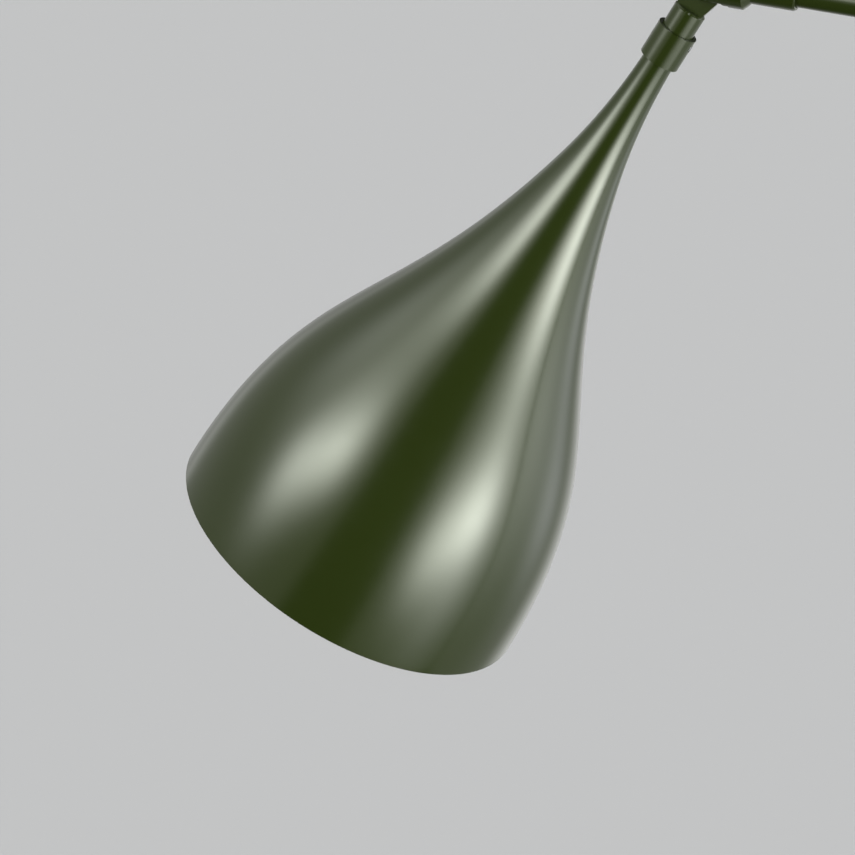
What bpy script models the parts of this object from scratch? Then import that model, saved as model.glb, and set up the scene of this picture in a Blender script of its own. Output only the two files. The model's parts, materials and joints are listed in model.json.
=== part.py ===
"""Adjustable arm floor lamp: weighted round base, two-piece stem, swivelling fork,
tilting arm and a spun bell shade that tilts at the arm's end.

Every sub-part is one object of its own. Metres, +Z up, origin at the middle of the
base's underside. The arm points to -X, its rear is +X, and every tilt axis is along Y.
"""

import math

import bmesh
import bpy

MM = 0.001

# ---------------------------------------------------------------- driving dimensions

# Clearances
GAP = 0.3 * MM                 # air left between two pieces that touch
SLIDE_GAP = 0.5 * MM           # air round a piece that slides or screws in
MERGE = 0.00001                # distance under which mesh points become one
CHAMFER = 1 * MM               # turned edges of heads, flanges and rims
OVERCUT = 1 * MM               # how far a cutter runs past the face it leaves by

# Whole lamp
ARM_PIVOT_HEIGHT = 1371 * MM   # floor to the arm's tilt axis
ARM_LENGTH = 420 * MM          # tilt axis to elbow axis
ARM_RISE = 6.0                 # degrees, the arm above level at rest
SHADE_LEAN = 30.8              # degrees, the shade's axis from the vertical at rest

# Base
BASE_RADIUS = 130 * MM
PAD_THICKNESS = 3 * MM
PAD_INSET = 1.5 * MM
WEIGHT_THICKNESS = 18 * MM
COVER_WALL = 1.2 * MM
COVER_EDGE_RADIUS = 6 * MM
COVER_LIFT = 1.5 * MM          # lower edge of the cover above the floor
NIPPLE_RADIUS = 5 * MM         # hollow threaded tube that ties base and stem
NIPPLE_BORE = 3.5 * MM
NIPPLE_REACH = 26 * MM         # how far it stands above the cover
RECESS_RADIUS = 14 * MM
RECESS_DEPTH = 13.5 * MM
WASHER_THICKNESS = 1.5 * MM
WASHER_AIR = 1 * MM            # between the washer's rim and the recess
NUT_THICKNESS = 4 * MM
NUT_FLATS = 16 * MM
LEAD_CHANNEL_WIDTH = 10 * MM
LEAD_CHANNEL_HEIGHT = 8 * MM

# Cord gland
GLAND_HEIGHT = 9.3 * MM        # its axis above the floor
GLAND_BORE = 3.5 * MM
GLAND_NECK = 4.7 * MM
GLAND_FLANGE = 5.8 * MM
GLAND_OUTER_LENGTH = 4 * MM
GLAND_INNER_LENGTH = 2 * MM
GLAND_POCKET_DEPTH = 8 * MM

# Foot switch
SWITCH_OFFSET = 80 * MM        # from the stem, on the arm's side
BUTTON_RADIUS = 10.5 * MM
BUTTON_PROUD = 4 * MM
BUTTON_CROWN = 0.9 * MM        # how far the button's top falls towards its edge
BUTTON_TRAVEL = 3 * MM
BUTTON_ROOF = 3.5 * MM
BUTTON_STEM_RADIUS = 4.2 * MM
BEZEL_WALL = 1.8 * MM
BEZEL_FLANGE = 15.5 * MM
BEZEL_HEIGHT = 2.5 * MM
BEZEL_DEPTH = 6 * MM
SWITCH_WALL = 1.9 * MM
SWITCH_FLOOR = 7 * MM
SWITCH_BORE_DEPTH = 6 * MM
SPRING_RADIUS = 6.4 * MM
SPRING_WIRE = 0.5 * MM
SPRING_TURNS = 4

# Stem
STEM_RADIUS = 9 * MM
STEM_WALL = 1.5 * MM
STEM_JOINT_HEIGHT = 690 * MM
PLUG_LENGTH = 28 * MM
PLUG_FLANGE = 2 * MM
COLLAR_RADIUS = 16 * MM
COLLAR_HEIGHT = 9 * MM
COLLAR_LIP = 2 * MM            # width of the collar's top round the stem
LEAD_RADIUS = 1.6 * MM
LEAD_REST = 2.2 * MM           # height of the lead's middle above the pad
LEAD_BEND = 5.5 * MM

# Swivel at the top of the stem
JOURNAL_RADIUS = 5.5 * MM
JOURNAL_LENGTH = 20 * MM
JOURNAL_GROOVE = 1 * MM        # depth of the ring groove that the grub screw runs in
GROOVE_WIDTH = 3.8 * MM
POST_FLANGE = 3 * MM
POST_FLANGE_RADIUS = 10.5 * MM
BUSH_WALL = 2.7 * MM
BUSH_FLANGE = 1.5 * MM
GRUB_RADIUS = 1.5 * MM
SWIVEL_BARREL = 14 * MM
SWIVEL_TAPER = 2 * MM          # chamfer at the bottom of the barrel

# Knuckles
BARREL_EDGE = 0.8 * MM         # chamfer at both ends of a knuckle's barrel
TONGUE_OVERLAP = 3 * MM        # how far a tongue runs into its barrel

# Arm joint
EAR_STEP = 3 * MM              # how far above a slot's floor a fork starts to narrow
ARM_EAR = 11 * MM              # radius of the round ends at the tilt axis
ARM_EAR_THICKNESS = 6 * MM
ARM_TONGUE = 8 * MM            # thickness
ARM_WASHER = 1 * MM
ARM_WASHER_RADIUS = 9.5 * MM
ARM_BOLT = 3 * MM
ARM_BOLT_HEAD = 5.5 * MM
ARM_BOLT_HEAD_LENGTH = 4 * MM
ARM_SLOT_FLOOR = 12.5 * MM     # from the axis to the bottom of the slot
ARM_FORK_WEB = 4 * MM
ARM_SHOULDER = 20 * MM         # from the axis to the arm's socket
ARM_SOCKET_WALL = 2.2 * MM
ARM_SOCKET_LENGTH = 26 * MM
ARM_SOCKET_FLOOR = 3 * MM
SCREW_INSET = 8 * MM           # from a socket's end to its grub screw
KNOB_RADIUS = 12 * MM
KNOB_LOBE = 0.7 * MM
KNOB_LOBES = 10
KNOB_THICKNESS = 10 * MM
KNOB_HUB = 7 * MM
KNOB_HUB_LENGTH = 3 * MM
KNOB_BORE_DEPTH = 8 * MM
THREAD_END = 1 * MM            # room left past a bolt's end in its blind thread

# Arm tube
ARM_TUBE_RADIUS = 6 * MM
ARM_TUBE_WALL = 1.2 * MM

# Elbow
ELBOW_EAR = 9 * MM
ELBOW_EAR_THICKNESS = 4.5 * MM
ELBOW_TONGUE = 7 * MM
ELBOW_WASHER = 0.8 * MM
ELBOW_WASHER_RADIUS = 7.5 * MM
ELBOW_BOLT = 2.5 * MM
ELBOW_BOLT_HEAD = 4.5 * MM
ELBOW_BOLT_HEAD_LENGTH = 3 * MM
ELBOW_NUT_FLATS = 8 * MM
ELBOW_NUT_LENGTH = 6 * MM
ELBOW_SLOT_FLOOR = 10.5 * MM
ELBOW_FORK_WEB = 5.5 * MM
ELBOW_BARREL = 11 * MM
ELBOW_BARREL_LENGTH = 17 * MM  # from the axis to where the barrel narrows
ELBOW_SOCKET_WALL = 1.5 * MM
ELBOW_SOCKET_END = 40 * MM
ELBOW_SHOULDER = 16 * MM

# Shade and neck
SHADE_RIM_RADIUS = 90 * MM
SHADE_THROAT_RADIUS = 14.8 * MM
SHADE_WALL = 0.8 * MM
BELL_LENGTH = 230 * MM
RIM_PULL = 109.6 * MM          # length of the curve's handle at the rim
RIM_TAPER = 1.7                # degrees that the wall leans in at the rim
THROAT_PULL = 120 * MM         # length of the curve's handle at the throat
THROAT_TAPER = 13.7            # degrees that the wall leans in at the throat
NECK_RADIUS = 7.2 * MM
NECK_LENGTH = 66.7 * MM
NECK_PULL = 22 * MM
NECK_BARREL = 7.5 * MM
NECK_BARREL_LENGTH = 20 * MM
NECK_THREAD_DEPTH = 15 * MM
FERRULE_WALL = 1.6 * MM
FERRULE_LENGTH = 16 * MM
FERRULE_OVERLAP = 7 * MM       # how much of it is round the shade's neck
FERRULE_SCREW = 4 * MM         # from its upper end to its grub screw
SPACER_LENGTH = 20 * MM
SPACER_WALL = 0.8 * MM

# Lampholder and bulb
CARRIER_RADIUS = 5 * MM
CARRIER_BORE = 3.5 * MM
CARRIER_STUB = 4 * MM          # how far it reaches into the holder's cap
HOLDER_RADIUS = 19 * MM
HOLDER_AIR = 6 * MM            # least air between holder and shade
HOLDER_CAP_SKIRT = 12 * MM
HOLDER_CAP_DOME = 10 * MM
HOLDER_CAP_CROWN = 9 * MM
HOLDER_CAP_PULL = 5 * MM       # lengths of the dome's handles, outside and inside
HOLDER_CAP_INNER_PULL = 4 * MM
HOLDER_CAP_WALL = 1.8 * MM
HOLDER_BODY_LENGTH = 38 * MM
HOLDER_BODY_FLOOR = 8 * MM
HOLDER_NUT_FLATS = 14 * MM
HOLDER_NUT_THICKNESS = 3.5 * MM
BULB_CAP_RADIUS = 13.1 * MM
BULB_CAP_LENGTH = 21 * MM
BULB_TIP_LENGTH = 4 * MM
THREAD_WALL = 0.7 * MM
THREAD_SHORT = 2 * MM          # how far the bulb's cap stands out of the brass shell
CONTACT_RADIUS = 4 * MM
CONTACT_THICKNESS = 1.2 * MM
BULB_RADIUS = 30 * MM
BULB_GLASS_LENGTH = 80 * MM
BULB_GLASS_WALL = 1 * MM
BULB_NECK_RADIUS = 13.6 * MM
BULB_GLOBE_PULL = 20 * MM      # lengths of the curve's handles between globe and neck
BULB_NECK_PULL = 22 * MM

# Facets
BASE_STEPS = 48
SHADE_STEPS = 36
TUBE_STEPS = 20
SMALL_STEPS = 16

# ---------------------------------------------------------------- worked-out places

pad_radius = BASE_RADIUS - COVER_WALL - GAP - PAD_INSET
weight_bottom = PAD_THICKNESS + GAP
weight_top = weight_bottom + WEIGHT_THICKNESS
cover_underside = weight_top + GAP
cover_top = cover_underside + COVER_WALL
nipple_hole = NIPPLE_RADIUS + GAP
recess_top = weight_bottom + RECESS_DEPTH
washer_top = recess_top - GAP
nut_top = washer_top - WASHER_THICKNESS - GAP
nut_bottom = nut_top - NUT_THICKNESS
nipple_bottom = nut_bottom - SLIDE_GAP
nipple_top = cover_top + NIPPLE_REACH

bezel_bore = BUTTON_RADIUS + SLIDE_GAP
bezel_tube = bezel_bore + BEZEL_WALL
switch_hole = bezel_tube + GAP
switch_radius = switch_hole + SWITCH_WALL
switch_floor = cover_underside - BEZEL_DEPTH - GAP
switch_bottom = switch_floor - SWITCH_FLOOR
bezel_top = cover_top + BEZEL_HEIGHT
button_top = bezel_top + BUTTON_PROUD
button_roof = button_top - BUTTON_ROOF
button_skirt = switch_floor + BUTTON_TRAVEL + SLIDE_GAP
button_stem_end = switch_floor - SWITCH_BORE_DEPTH + BUTTON_TRAVEL + SLIDE_GAP

stem_bore = STEM_RADIUS - STEM_WALL
plug_radius = stem_bore - GAP
plug_bottom = cover_top + GAP
lower_stem_bottom = plug_bottom + PLUG_FLANGE + GAP
lower_stem_top = STEM_JOINT_HEIGHT - PLUG_FLANGE / 2 - GAP
upper_stem_bottom = STEM_JOINT_HEIGHT + PLUG_FLANGE / 2 + GAP

# Heights at the top of the stem are measured from the arm's tilt axis.
housing_roof = -ARM_SLOT_FLOOR - ARM_FORK_WEB
journal_top = housing_roof - 2 * SLIDE_GAP
post_flange_top = journal_top - JOURNAL_LENGTH
post_flange_bottom = post_flange_top - POST_FLANGE
upper_stem_top = ARM_PIVOT_HEIGHT + post_flange_bottom - GAP
bush_bottom = post_flange_top + GAP
bush_top = journal_top - SLIDE_GAP
bush_bore = JOURNAL_RADIUS + GAP
bush_radius = bush_bore + BUSH_WALL
housing_bore = bush_radius + GAP
housing_bottom = bush_bottom + BUSH_FLANGE + GAP
groove_middle = (housing_bottom + journal_top) / 2

arm_slot = ARM_TONGUE + 2 * ARM_WASHER + 4 * GAP
arm_fork_width = arm_slot + 2 * ARM_EAR_THICKNESS
arm_bolt_hole = ARM_BOLT + GAP
tube_socket = ARM_TUBE_RADIUS + GAP
arm_socket = tube_socket + ARM_SOCKET_WALL
elbow_socket = tube_socket + ELBOW_SOCKET_WALL
arm_socket_end = ARM_SHOULDER + ARM_SOCKET_LENGTH
arm_tube_start = ARM_SHOULDER + ARM_SOCKET_FLOOR + GAP

elbow_slot = ELBOW_TONGUE + 2 * ELBOW_WASHER + 4 * GAP
elbow_fork_width = elbow_slot + 2 * ELBOW_EAR_THICKNESS
elbow_bolt_hole = ELBOW_BOLT + GAP
elbow_socket_floor = -ELBOW_SLOT_FLOOR - ELBOW_FORK_WEB
arm_tube_end = ARM_LENGTH + elbow_socket_floor - GAP
elbow_bend = 90 + ARM_RISE - SHADE_LEAN

# Places along the shade's axis are measured from the elbow towards the rim.
neck_barrel_end = ELBOW_SHOULDER + NECK_BARREL_LENGTH
neck_start = neck_barrel_end + GAP
throat = neck_start + NECK_LENGTH
rim = throat + BELL_LENGTH
carrier_hole = CARRIER_RADIUS + GAP
carrier_start = neck_barrel_end - NECK_THREAD_DEPTH + GAP
spacer_start = neck_start + SHADE_WALL + GAP


# ---------------------------------------------------------------- helpers

def material(name, colour, roughness, metallic):
    """A plain finish, colour in linear RGB."""
    finish = bpy.data.materials.new(name)
    finish.use_nodes = True
    shader = finish.node_tree.nodes["Principled BSDF"]
    shader.inputs["Base Color"].default_value = (*colour, 1)
    shader.inputs["Roughness"].default_value = roughness
    shader.inputs["Metallic"].default_value = metallic
    finish.diffuse_color = (*colour, 1)
    return finish


def frame(name, holder=None, at=(0, 0, 0), turn_y=0.0):
    """An empty that holds a body's pieces on its joint's axis; turn_y in degrees."""
    empty = bpy.data.objects.new(name, None)
    empty.empty_display_size = 0.03
    lamp.objects.link(empty)
    empty.parent = holder
    empty.location = at
    empty.rotation_euler = (0, math.radians(turn_y), 0)
    return empty


def place(name, data, finish, holder, at=(0, 0, 0), turn=(0, 0, 0)):
    """Put a mesh or curve in the lamp, or among the cutters when it has no finish."""
    obj = bpy.data.objects.new(name, data)
    obj.parent = holder
    obj.location = at
    obj.rotation_euler = turn
    if finish is None:
        cutters.objects.link(obj)
        obj.hide_render = True
        obj.display_type = "WIRE"
    else:
        lamp.objects.link(obj)
        own = finish.copy()
        own.name = name
        data.materials.append(own)
    return obj


def turned(name, outline, finish, holder, steps=TUBE_STEPS, at=(0, 0, 0), turn=(0, 0, 0)):
    """A piece turned on a lathe: (radius, height) points down the outside, then up the bore."""
    points = [(radius, 0, height) for radius, height in outline]
    edges = [(i, i + 1) for i in range(len(points) - 1)]
    if outline[0][0] > 0:
        edges.append((len(points) - 1, 0))
    mesh = bpy.data.meshes.new(name)
    mesh.from_pydata(points, edges, [])
    obj = place(name, mesh, finish, holder, at, turn)
    screw = obj.modifiers.new("turn", "SCREW")
    screw.axis = "Z"
    screw.steps = steps
    screw.render_steps = steps
    screw.use_merge_vertices = True
    screw.merge_threshold = MERGE
    screw.use_smooth_shade = True
    return obj


def disc(bottom, top, radius, edge=0.0):
    """The outline of a solid disc or rod with chamfered edges."""
    if edge == 0:
        return [(0, top), (radius, top), (radius, bottom), (0, bottom)]
    return [(0, top), (radius - edge, top), (radius, top - edge),
            (radius, bottom + edge), (radius - edge, bottom), (0, bottom)]


def ring(bottom, top, bore, radius, edge=0.0):
    """The outline of a tube or washer with chamfered outer edges."""
    return [(bore, top)] + disc(bottom, top, radius, edge)[1:-1] + [(bore, bottom)]


def arc(middle, radius, start, end, count):
    """Points on an arc about middle, angles in degrees from the first axis to the second."""
    angles = [math.radians(start + (end - start) * i / count) for i in range(count + 1)]
    return [(middle[0] + radius * math.cos(a), middle[1] + radius * math.sin(a)) for a in angles]


def bezier(a, b, c, d, count):
    """Points on a cubic curve from a to d with the handles b and c."""
    points = []
    for i in range(count + 1):
        t = i / count
        weights = ((1 - t) ** 3, 3 * t * (1 - t) ** 2, 3 * t * t * (1 - t), t ** 3)
        points.append(tuple(sum(w * p[k] for w, p in zip(weights, (a, b, c, d)))
                            for k in (0, 1)))
    return points


def flat_outline(name, points, thickness, finish, holder, at=(0, 0, 0), turn=(0, 0, 0)):
    """A plate cut to an outline, as a mesh; the outline is in its own XY plane."""
    curve = bpy.data.curves.new(name, "CURVE")
    curve.dimensions = "2D"
    curve.fill_mode = "BOTH"
    curve.extrude = thickness / 2
    spline = curve.splines.new("POLY")
    spline.points.add(len(points) - 1)
    for point, (x, y) in zip(spline.points, points):
        point.co = (x, y, 0, 1)
    spline.use_cyclic_u = True
    return meshed(name, curve, finish, holder, at, turn)


def meshed(name, curve, finish, holder, at=(0, 0, 0), turn=(0, 0, 0)):
    """Make a curve a closed mesh, so that it can be cut and joined."""
    source = bpy.data.objects.new(name + "_curve", curve)
    cutters.objects.link(source)
    bpy.context.view_layer.update()
    evaluated = source.evaluated_get(bpy.context.evaluated_depsgraph_get())
    mesh = bpy.data.meshes.new_from_object(evaluated)
    mesh.name = name
    mesh.materials.clear()
    bpy.data.objects.remove(source)
    shape = bmesh.new()
    shape.from_mesh(mesh)
    bmesh.ops.remove_doubles(shape, verts=shape.verts, dist=MERGE)
    bmesh.ops.recalc_face_normals(shape, faces=shape.faces)
    shape.to_mesh(mesh)
    shape.free()
    return place(name, mesh, finish, holder, at, turn)


def wire(name, points, radius, finish, holder, resolution=2):
    """A round wire through a list of points."""
    curve = bpy.data.curves.new(name, "CURVE")
    curve.dimensions = "3D"
    curve.bevel_depth = radius
    curve.bevel_resolution = resolution
    curve.use_fill_caps = True
    spline = curve.splines.new("POLY")
    spline.points.add(len(points) - 1)
    for point, place_at in zip(spline.points, points):
        point.co = (*place_at, 1)
    return place(name, curve, finish, holder)


def combine(obj, tool, operation="DIFFERENCE"):
    """Cut obj with tool, join it to it, or keep only what both fill."""
    step = obj.modifiers.new(tool.name, "BOOLEAN")
    step.object = tool
    step.operation = operation
    step.solver = "EXACT"


def cut_round(obj, label, radius, low, high, along="Z", middle=(0, 0, 0), steps=SMALL_STEPS):
    """Drill obj from low to high along one of its holder's axes, through middle."""
    turn = {"X": (0, math.pi / 2, 0), "Y": (-math.pi / 2, 0, 0), "Z": (0, 0, 0)}[along]
    tool = turned(obj.name + "_" + label, disc(low, high, radius), None, obj.parent,
                  steps, middle, turn)
    combine(obj, tool)


def cut_box(obj, label, low, high):
    """Cut a box out of obj, between two corners in its holder's axes."""
    mesh = bpy.data.meshes.new(obj.name + "_" + label)
    shape = bmesh.new()
    bmesh.ops.create_cube(shape, size=1.0)
    size = [b - a for a, b in zip(low, high)]
    bmesh.ops.scale(shape, vec=size, verts=shape.verts)
    shape.to_mesh(mesh)
    shape.free()
    middle = [(a + b) / 2 for a, b in zip(low, high)]
    combine(obj, place(mesh.name, mesh, None, obj.parent, middle))


def hexagon(name, flats, bottom, top, finish, holder, turn=(0, 0, 0)):
    """A solid six-sided nut blank; flats is the width across them."""
    corner = flats / math.sqrt(3)
    return turned(name, disc(bottom, top, corner), finish, holder, 6, turn=turn)


ALONG_X = (0, math.pi / 2, 0)
ALONG_Y = (-math.pi / 2, 0, 0)
FACING_Y = (math.pi / 2, 0, 0)
FACING_X = (math.pi / 2, 0, math.pi / 2)


def shouldered(half_width, drop, outer, bottom, round_end):
    """Half-width ears above a sloping shoulder, with everything kept below it."""
    lower = -drop - (outer - half_width)
    if round_end:
        head = arc((0, 0), half_width, 0, 180, 16)
    else:
        head = [(half_width, outer), (-half_width, outer)]
    return head + [(-half_width, -drop), (-outer, lower), (-outer, bottom),
                   (outer, bottom), (outer, lower), (half_width, -drop)]


def fork(name, outline, ear, barrel, width, slot, slot_floor, bolt_hole, finish, holder):
    """A turned barrel with flats, a slot and a cross hole at the holder's origin."""
    obj = turned(name, outline, finish, holder)
    outer = 2 * barrel
    bottom = outline[-1][1] - OVERCUT
    drop = slot_floor - EAR_STEP
    front = flat_outline(name + "_front", shouldered(ear, drop, outer, bottom, True),
                         4 * barrel, None, holder, turn=FACING_Y)
    side = flat_outline(name + "_side", shouldered(width / 2, drop, outer, bottom, False),
                        4 * barrel, None, holder, turn=FACING_X)
    combine(obj, front, "INTERSECT")
    combine(obj, side, "INTERSECT")
    cut_box(obj, "slot", (-outer, -slot / 2, -slot_floor), (outer, slot / 2, outer))
    cut_round(obj, "bolt_hole", bolt_hole, -width, width, "Y")
    return obj


def knuckle(name, ear, tongue, shoulder, barrel, end, bolt_hole, finish, holder):
    """A barrel with a round-ended tongue and a cross hole at the holder's origin."""
    root = 0.85 * barrel
    overlap = shoulder + TONGUE_OVERLAP
    obj = turned(name, disc(shoulder, end, barrel, BARREL_EDGE), finish, holder)
    sides = [(ear, 0.45 * shoulder), (root, shoulder), (root, overlap),
             (-root, overlap), (-root, shoulder), (-ear, 0.45 * shoulder)]
    plate = flat_outline(name + "_tongue", arc((0, 0), ear, 180, 360, 16) + sides, tongue,
                         None, holder, turn=FACING_Y)
    combine(obj, plate, "UNION")
    cut_round(obj, "bolt_hole", bolt_hole, -tongue, tongue, "Y")
    return obj


def grub_screw(name, seat, surface, along, finish, holder, holed):
    """A headless screw from the seat radius to the surface radius, on the side -X or +X."""
    side = 1 if surface > 0 else -1
    low, high = sorted((side * (abs(seat) + GAP), surface - side * GAP))
    turned(name, disc(low, high, GRUB_RADIUS), finish, holder, 12, (0, 0, along), ALONG_X)
    for obj in holed:
        reach = sorted((seat - side * OVERCUT, surface + side * 2 * OVERCUT))
        cut_round(obj, name + "_hole", GRUB_RADIUS + GAP, *reach, "X", (0, 0, along), 12)


# ---------------------------------------------------------------- start clean

for old in list(bpy.data.objects):
    bpy.data.objects.remove(old)

lamp = bpy.data.collections.new("adjustable_arm_floor_lamp")
cutters = bpy.data.collections.new("cutters")
bpy.context.scene.collection.children.link(lamp)
bpy.context.scene.collection.children.link(cutters)

olive_paint = material("olive_paint", (0.105, 0.125, 0.055), 0.35, 0.0)
black_plastic = material("black_plastic", (0.02, 0.02, 0.02), 0.45, 0.0)
white_plastic = material("white_plastic", (0.75, 0.74, 0.70), 0.5, 0.0)
zinc_steel = material("zinc_steel", (0.55, 0.56, 0.57), 0.35, 1.0)
brass = material("brass", (0.72, 0.52, 0.22), 0.3, 1.0)
iron = material("iron", (0.09, 0.09, 0.09), 0.7, 1.0)
rubber = material("rubber", (0.03, 0.03, 0.03), 0.85, 0.0)
glass = material("opal_glass", (0.9, 0.9, 0.88), 0.2, 0.0)
lead_sheath = material("lead_sheath", (0.6, 0.6, 0.58), 0.5, 0.0)

base = frame("base_frame")
switch = frame("foot_switch_axis", base, (-SWITCH_OFFSET, 0, 0))
swivel = frame("swivel_axis", base, (0, 0, ARM_PIVOT_HEIGHT))
arm = frame("arm_axis", swivel, turn_y=ARM_RISE - 90)
elbow = frame("elbow_frame", arm, (0, 0, ARM_LENGTH))
head = frame("shade_axis", elbow, turn_y=-elbow_bend)


# ---------------------------------------------------------------- base

def base_pieces():
    turned("base_pad", disc(0, PAD_THICKNESS, pad_radius), rubber, base, BASE_STEPS)

    corner = (BASE_RADIUS - COVER_EDGE_RADIUS, cover_top - COVER_EDGE_RADIUS)
    weight_edge = arc(corner, COVER_EDGE_RADIUS - COVER_WALL - GAP, 90, 0, 3)
    weight_radius = weight_edge[-1][0]
    weight = turned("base_weight",
                    [(nipple_hole, weight_top)] + weight_edge
                    + [(weight_radius, weight_bottom), (RECESS_RADIUS, weight_bottom),
                       (RECESS_RADIUS, recess_top), (nipple_hole, recess_top)],
                    iron, base, BASE_STEPS)
    inner_skirt = BASE_RADIUS - COVER_WALL
    channel_end = inner_skirt - GLAND_POCKET_DEPTH
    half_channel = LEAD_CHANNEL_WIDTH / 2
    cut_box(weight, "lead_channel", (-SWITCH_OFFSET, -half_channel, weight_bottom - OVERCUT),
            (channel_end + OVERCUT, half_channel, weight_bottom + LEAD_CHANNEL_HEIGHT))
    cut_round(weight, "switch_pocket", switch_radius + 2 * SLIDE_GAP, 0, cover_top,
              middle=(-SWITCH_OFFSET, 0, 0))
    cut_round(weight, "gland_pocket", GLAND_FLANGE + 2 * GAP, channel_end, BASE_RADIUS,
              "X", (0, 0, GLAND_HEIGHT))

    outer_edge = arc(corner, COVER_EDGE_RADIUS, 90, 0, 3)
    inner_edge = arc(corner, COVER_EDGE_RADIUS - COVER_WALL, 0, 90, 3)
    cover = turned("base_cover",
                   [(nipple_hole, cover_top)] + outer_edge
                   + [(BASE_RADIUS, COVER_LIFT), (inner_skirt, COVER_LIFT)]
                   + inner_edge + [(nipple_hole, cover_underside)],
                   olive_paint, base, BASE_STEPS)
    cut_round(cover, "gland_hole", GLAND_NECK + GAP, channel_end, BASE_RADIUS + OVERCUT,
              "X", (0, 0, GLAND_HEIGHT))
    cut_round(cover, "switch_hole", switch_hole, weight_top, cover_top + OVERCUT,
              middle=(-SWITCH_OFFSET, 0, 0))

    turned("base_nipple", ring(nipple_bottom, nipple_top, NIPPLE_BORE, NIPPLE_RADIUS),
           zinc_steel, base, SMALL_STEPS)
    turned("base_washer",
           ring(washer_top - WASHER_THICKNESS, washer_top, nipple_hole, RECESS_RADIUS - WASHER_AIR),
           zinc_steel, base, SMALL_STEPS)
    nut = hexagon("base_nut", NUT_FLATS, nut_bottom, nut_top, zinc_steel, base)
    cut_round(nut, "thread", nipple_hole, nut_bottom - OVERCUT, nut_top + OVERCUT)

    gland_inner = math.sqrt(inner_skirt ** 2 - GLAND_FLANGE ** 2) - GAP
    gland_outer = BASE_RADIUS + GAP
    turned("cord_gland",
           [(GLAND_BORE, gland_outer + GLAND_OUTER_LENGTH),
            (GLAND_FLANGE - CHAMFER, gland_outer + GLAND_OUTER_LENGTH),
            (GLAND_FLANGE, gland_outer + GLAND_OUTER_LENGTH - CHAMFER),
            (GLAND_FLANGE, gland_outer), (GLAND_NECK, gland_outer),
            (GLAND_NECK, gland_inner), (GLAND_FLANGE, gland_inner),
            (GLAND_FLANGE, gland_inner - GLAND_INNER_LENGTH),
            (GLAND_BORE, gland_inner - GLAND_INNER_LENGTH)],
           rubber, base, SMALL_STEPS, (0, 0, GLAND_HEIGHT), ALONG_X)


def foot_switch_pieces():
    turned("foot_switch_bezel",
           [(bezel_bore, bezel_top), (BEZEL_FLANGE - CHAMFER, bezel_top),
            (BEZEL_FLANGE, bezel_top - CHAMFER), (BEZEL_FLANGE, cover_top + GAP),
            (bezel_tube, cover_top + GAP), (bezel_tube, cover_underside - BEZEL_DEPTH),
            (bezel_bore, cover_underside - BEZEL_DEPTH)],
           zinc_steel, switch, TUBE_STEPS)
    plunger_bore = BUTTON_STEM_RADIUS + GAP
    turned("foot_switch_body",
           [(switch_hole, weight_top), (switch_radius, weight_top),
            (switch_radius, switch_bottom), (0, switch_bottom),
            (0, switch_floor - SWITCH_BORE_DEPTH), (plunger_bore, switch_floor - SWITCH_BORE_DEPTH),
            (plunger_bore, switch_floor), (switch_hole, switch_floor)],
           black_plastic, switch, TUBE_STEPS)
    spring_out = SPRING_RADIUS + SPRING_WIRE + 2 * SLIDE_GAP
    turned("foot_button",
           [(0, button_top), (BUTTON_RADIUS / 2, button_top - BUTTON_CROWN / 4),
            (BUTTON_RADIUS - CHAMFER, button_top - BUTTON_CROWN),
            (BUTTON_RADIUS, button_top - BUTTON_CROWN - CHAMFER),
            (BUTTON_RADIUS, button_skirt), (spring_out, button_skirt),
            (spring_out, button_roof), (BUTTON_STEM_RADIUS, button_roof),
            (BUTTON_STEM_RADIUS, button_stem_end), (0, button_stem_end)],
           black_plastic, switch, TUBE_STEPS)
    low = switch_floor + GAP + SPRING_WIRE
    high = button_roof - GAP - SPRING_WIRE
    per_turn = 10
    count = SPRING_TURNS * per_turn
    coil = []
    for i in range(count + 1):
        angle = 2 * math.pi * i / per_turn
        coil.append((SPRING_RADIUS * math.cos(angle), SPRING_RADIUS * math.sin(angle),
                     low + (high - low) * i / count))
    wire("foot_switch_spring", coil, SPRING_WIRE, zinc_steel, switch, 1)


# ---------------------------------------------------------------- stem

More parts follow.
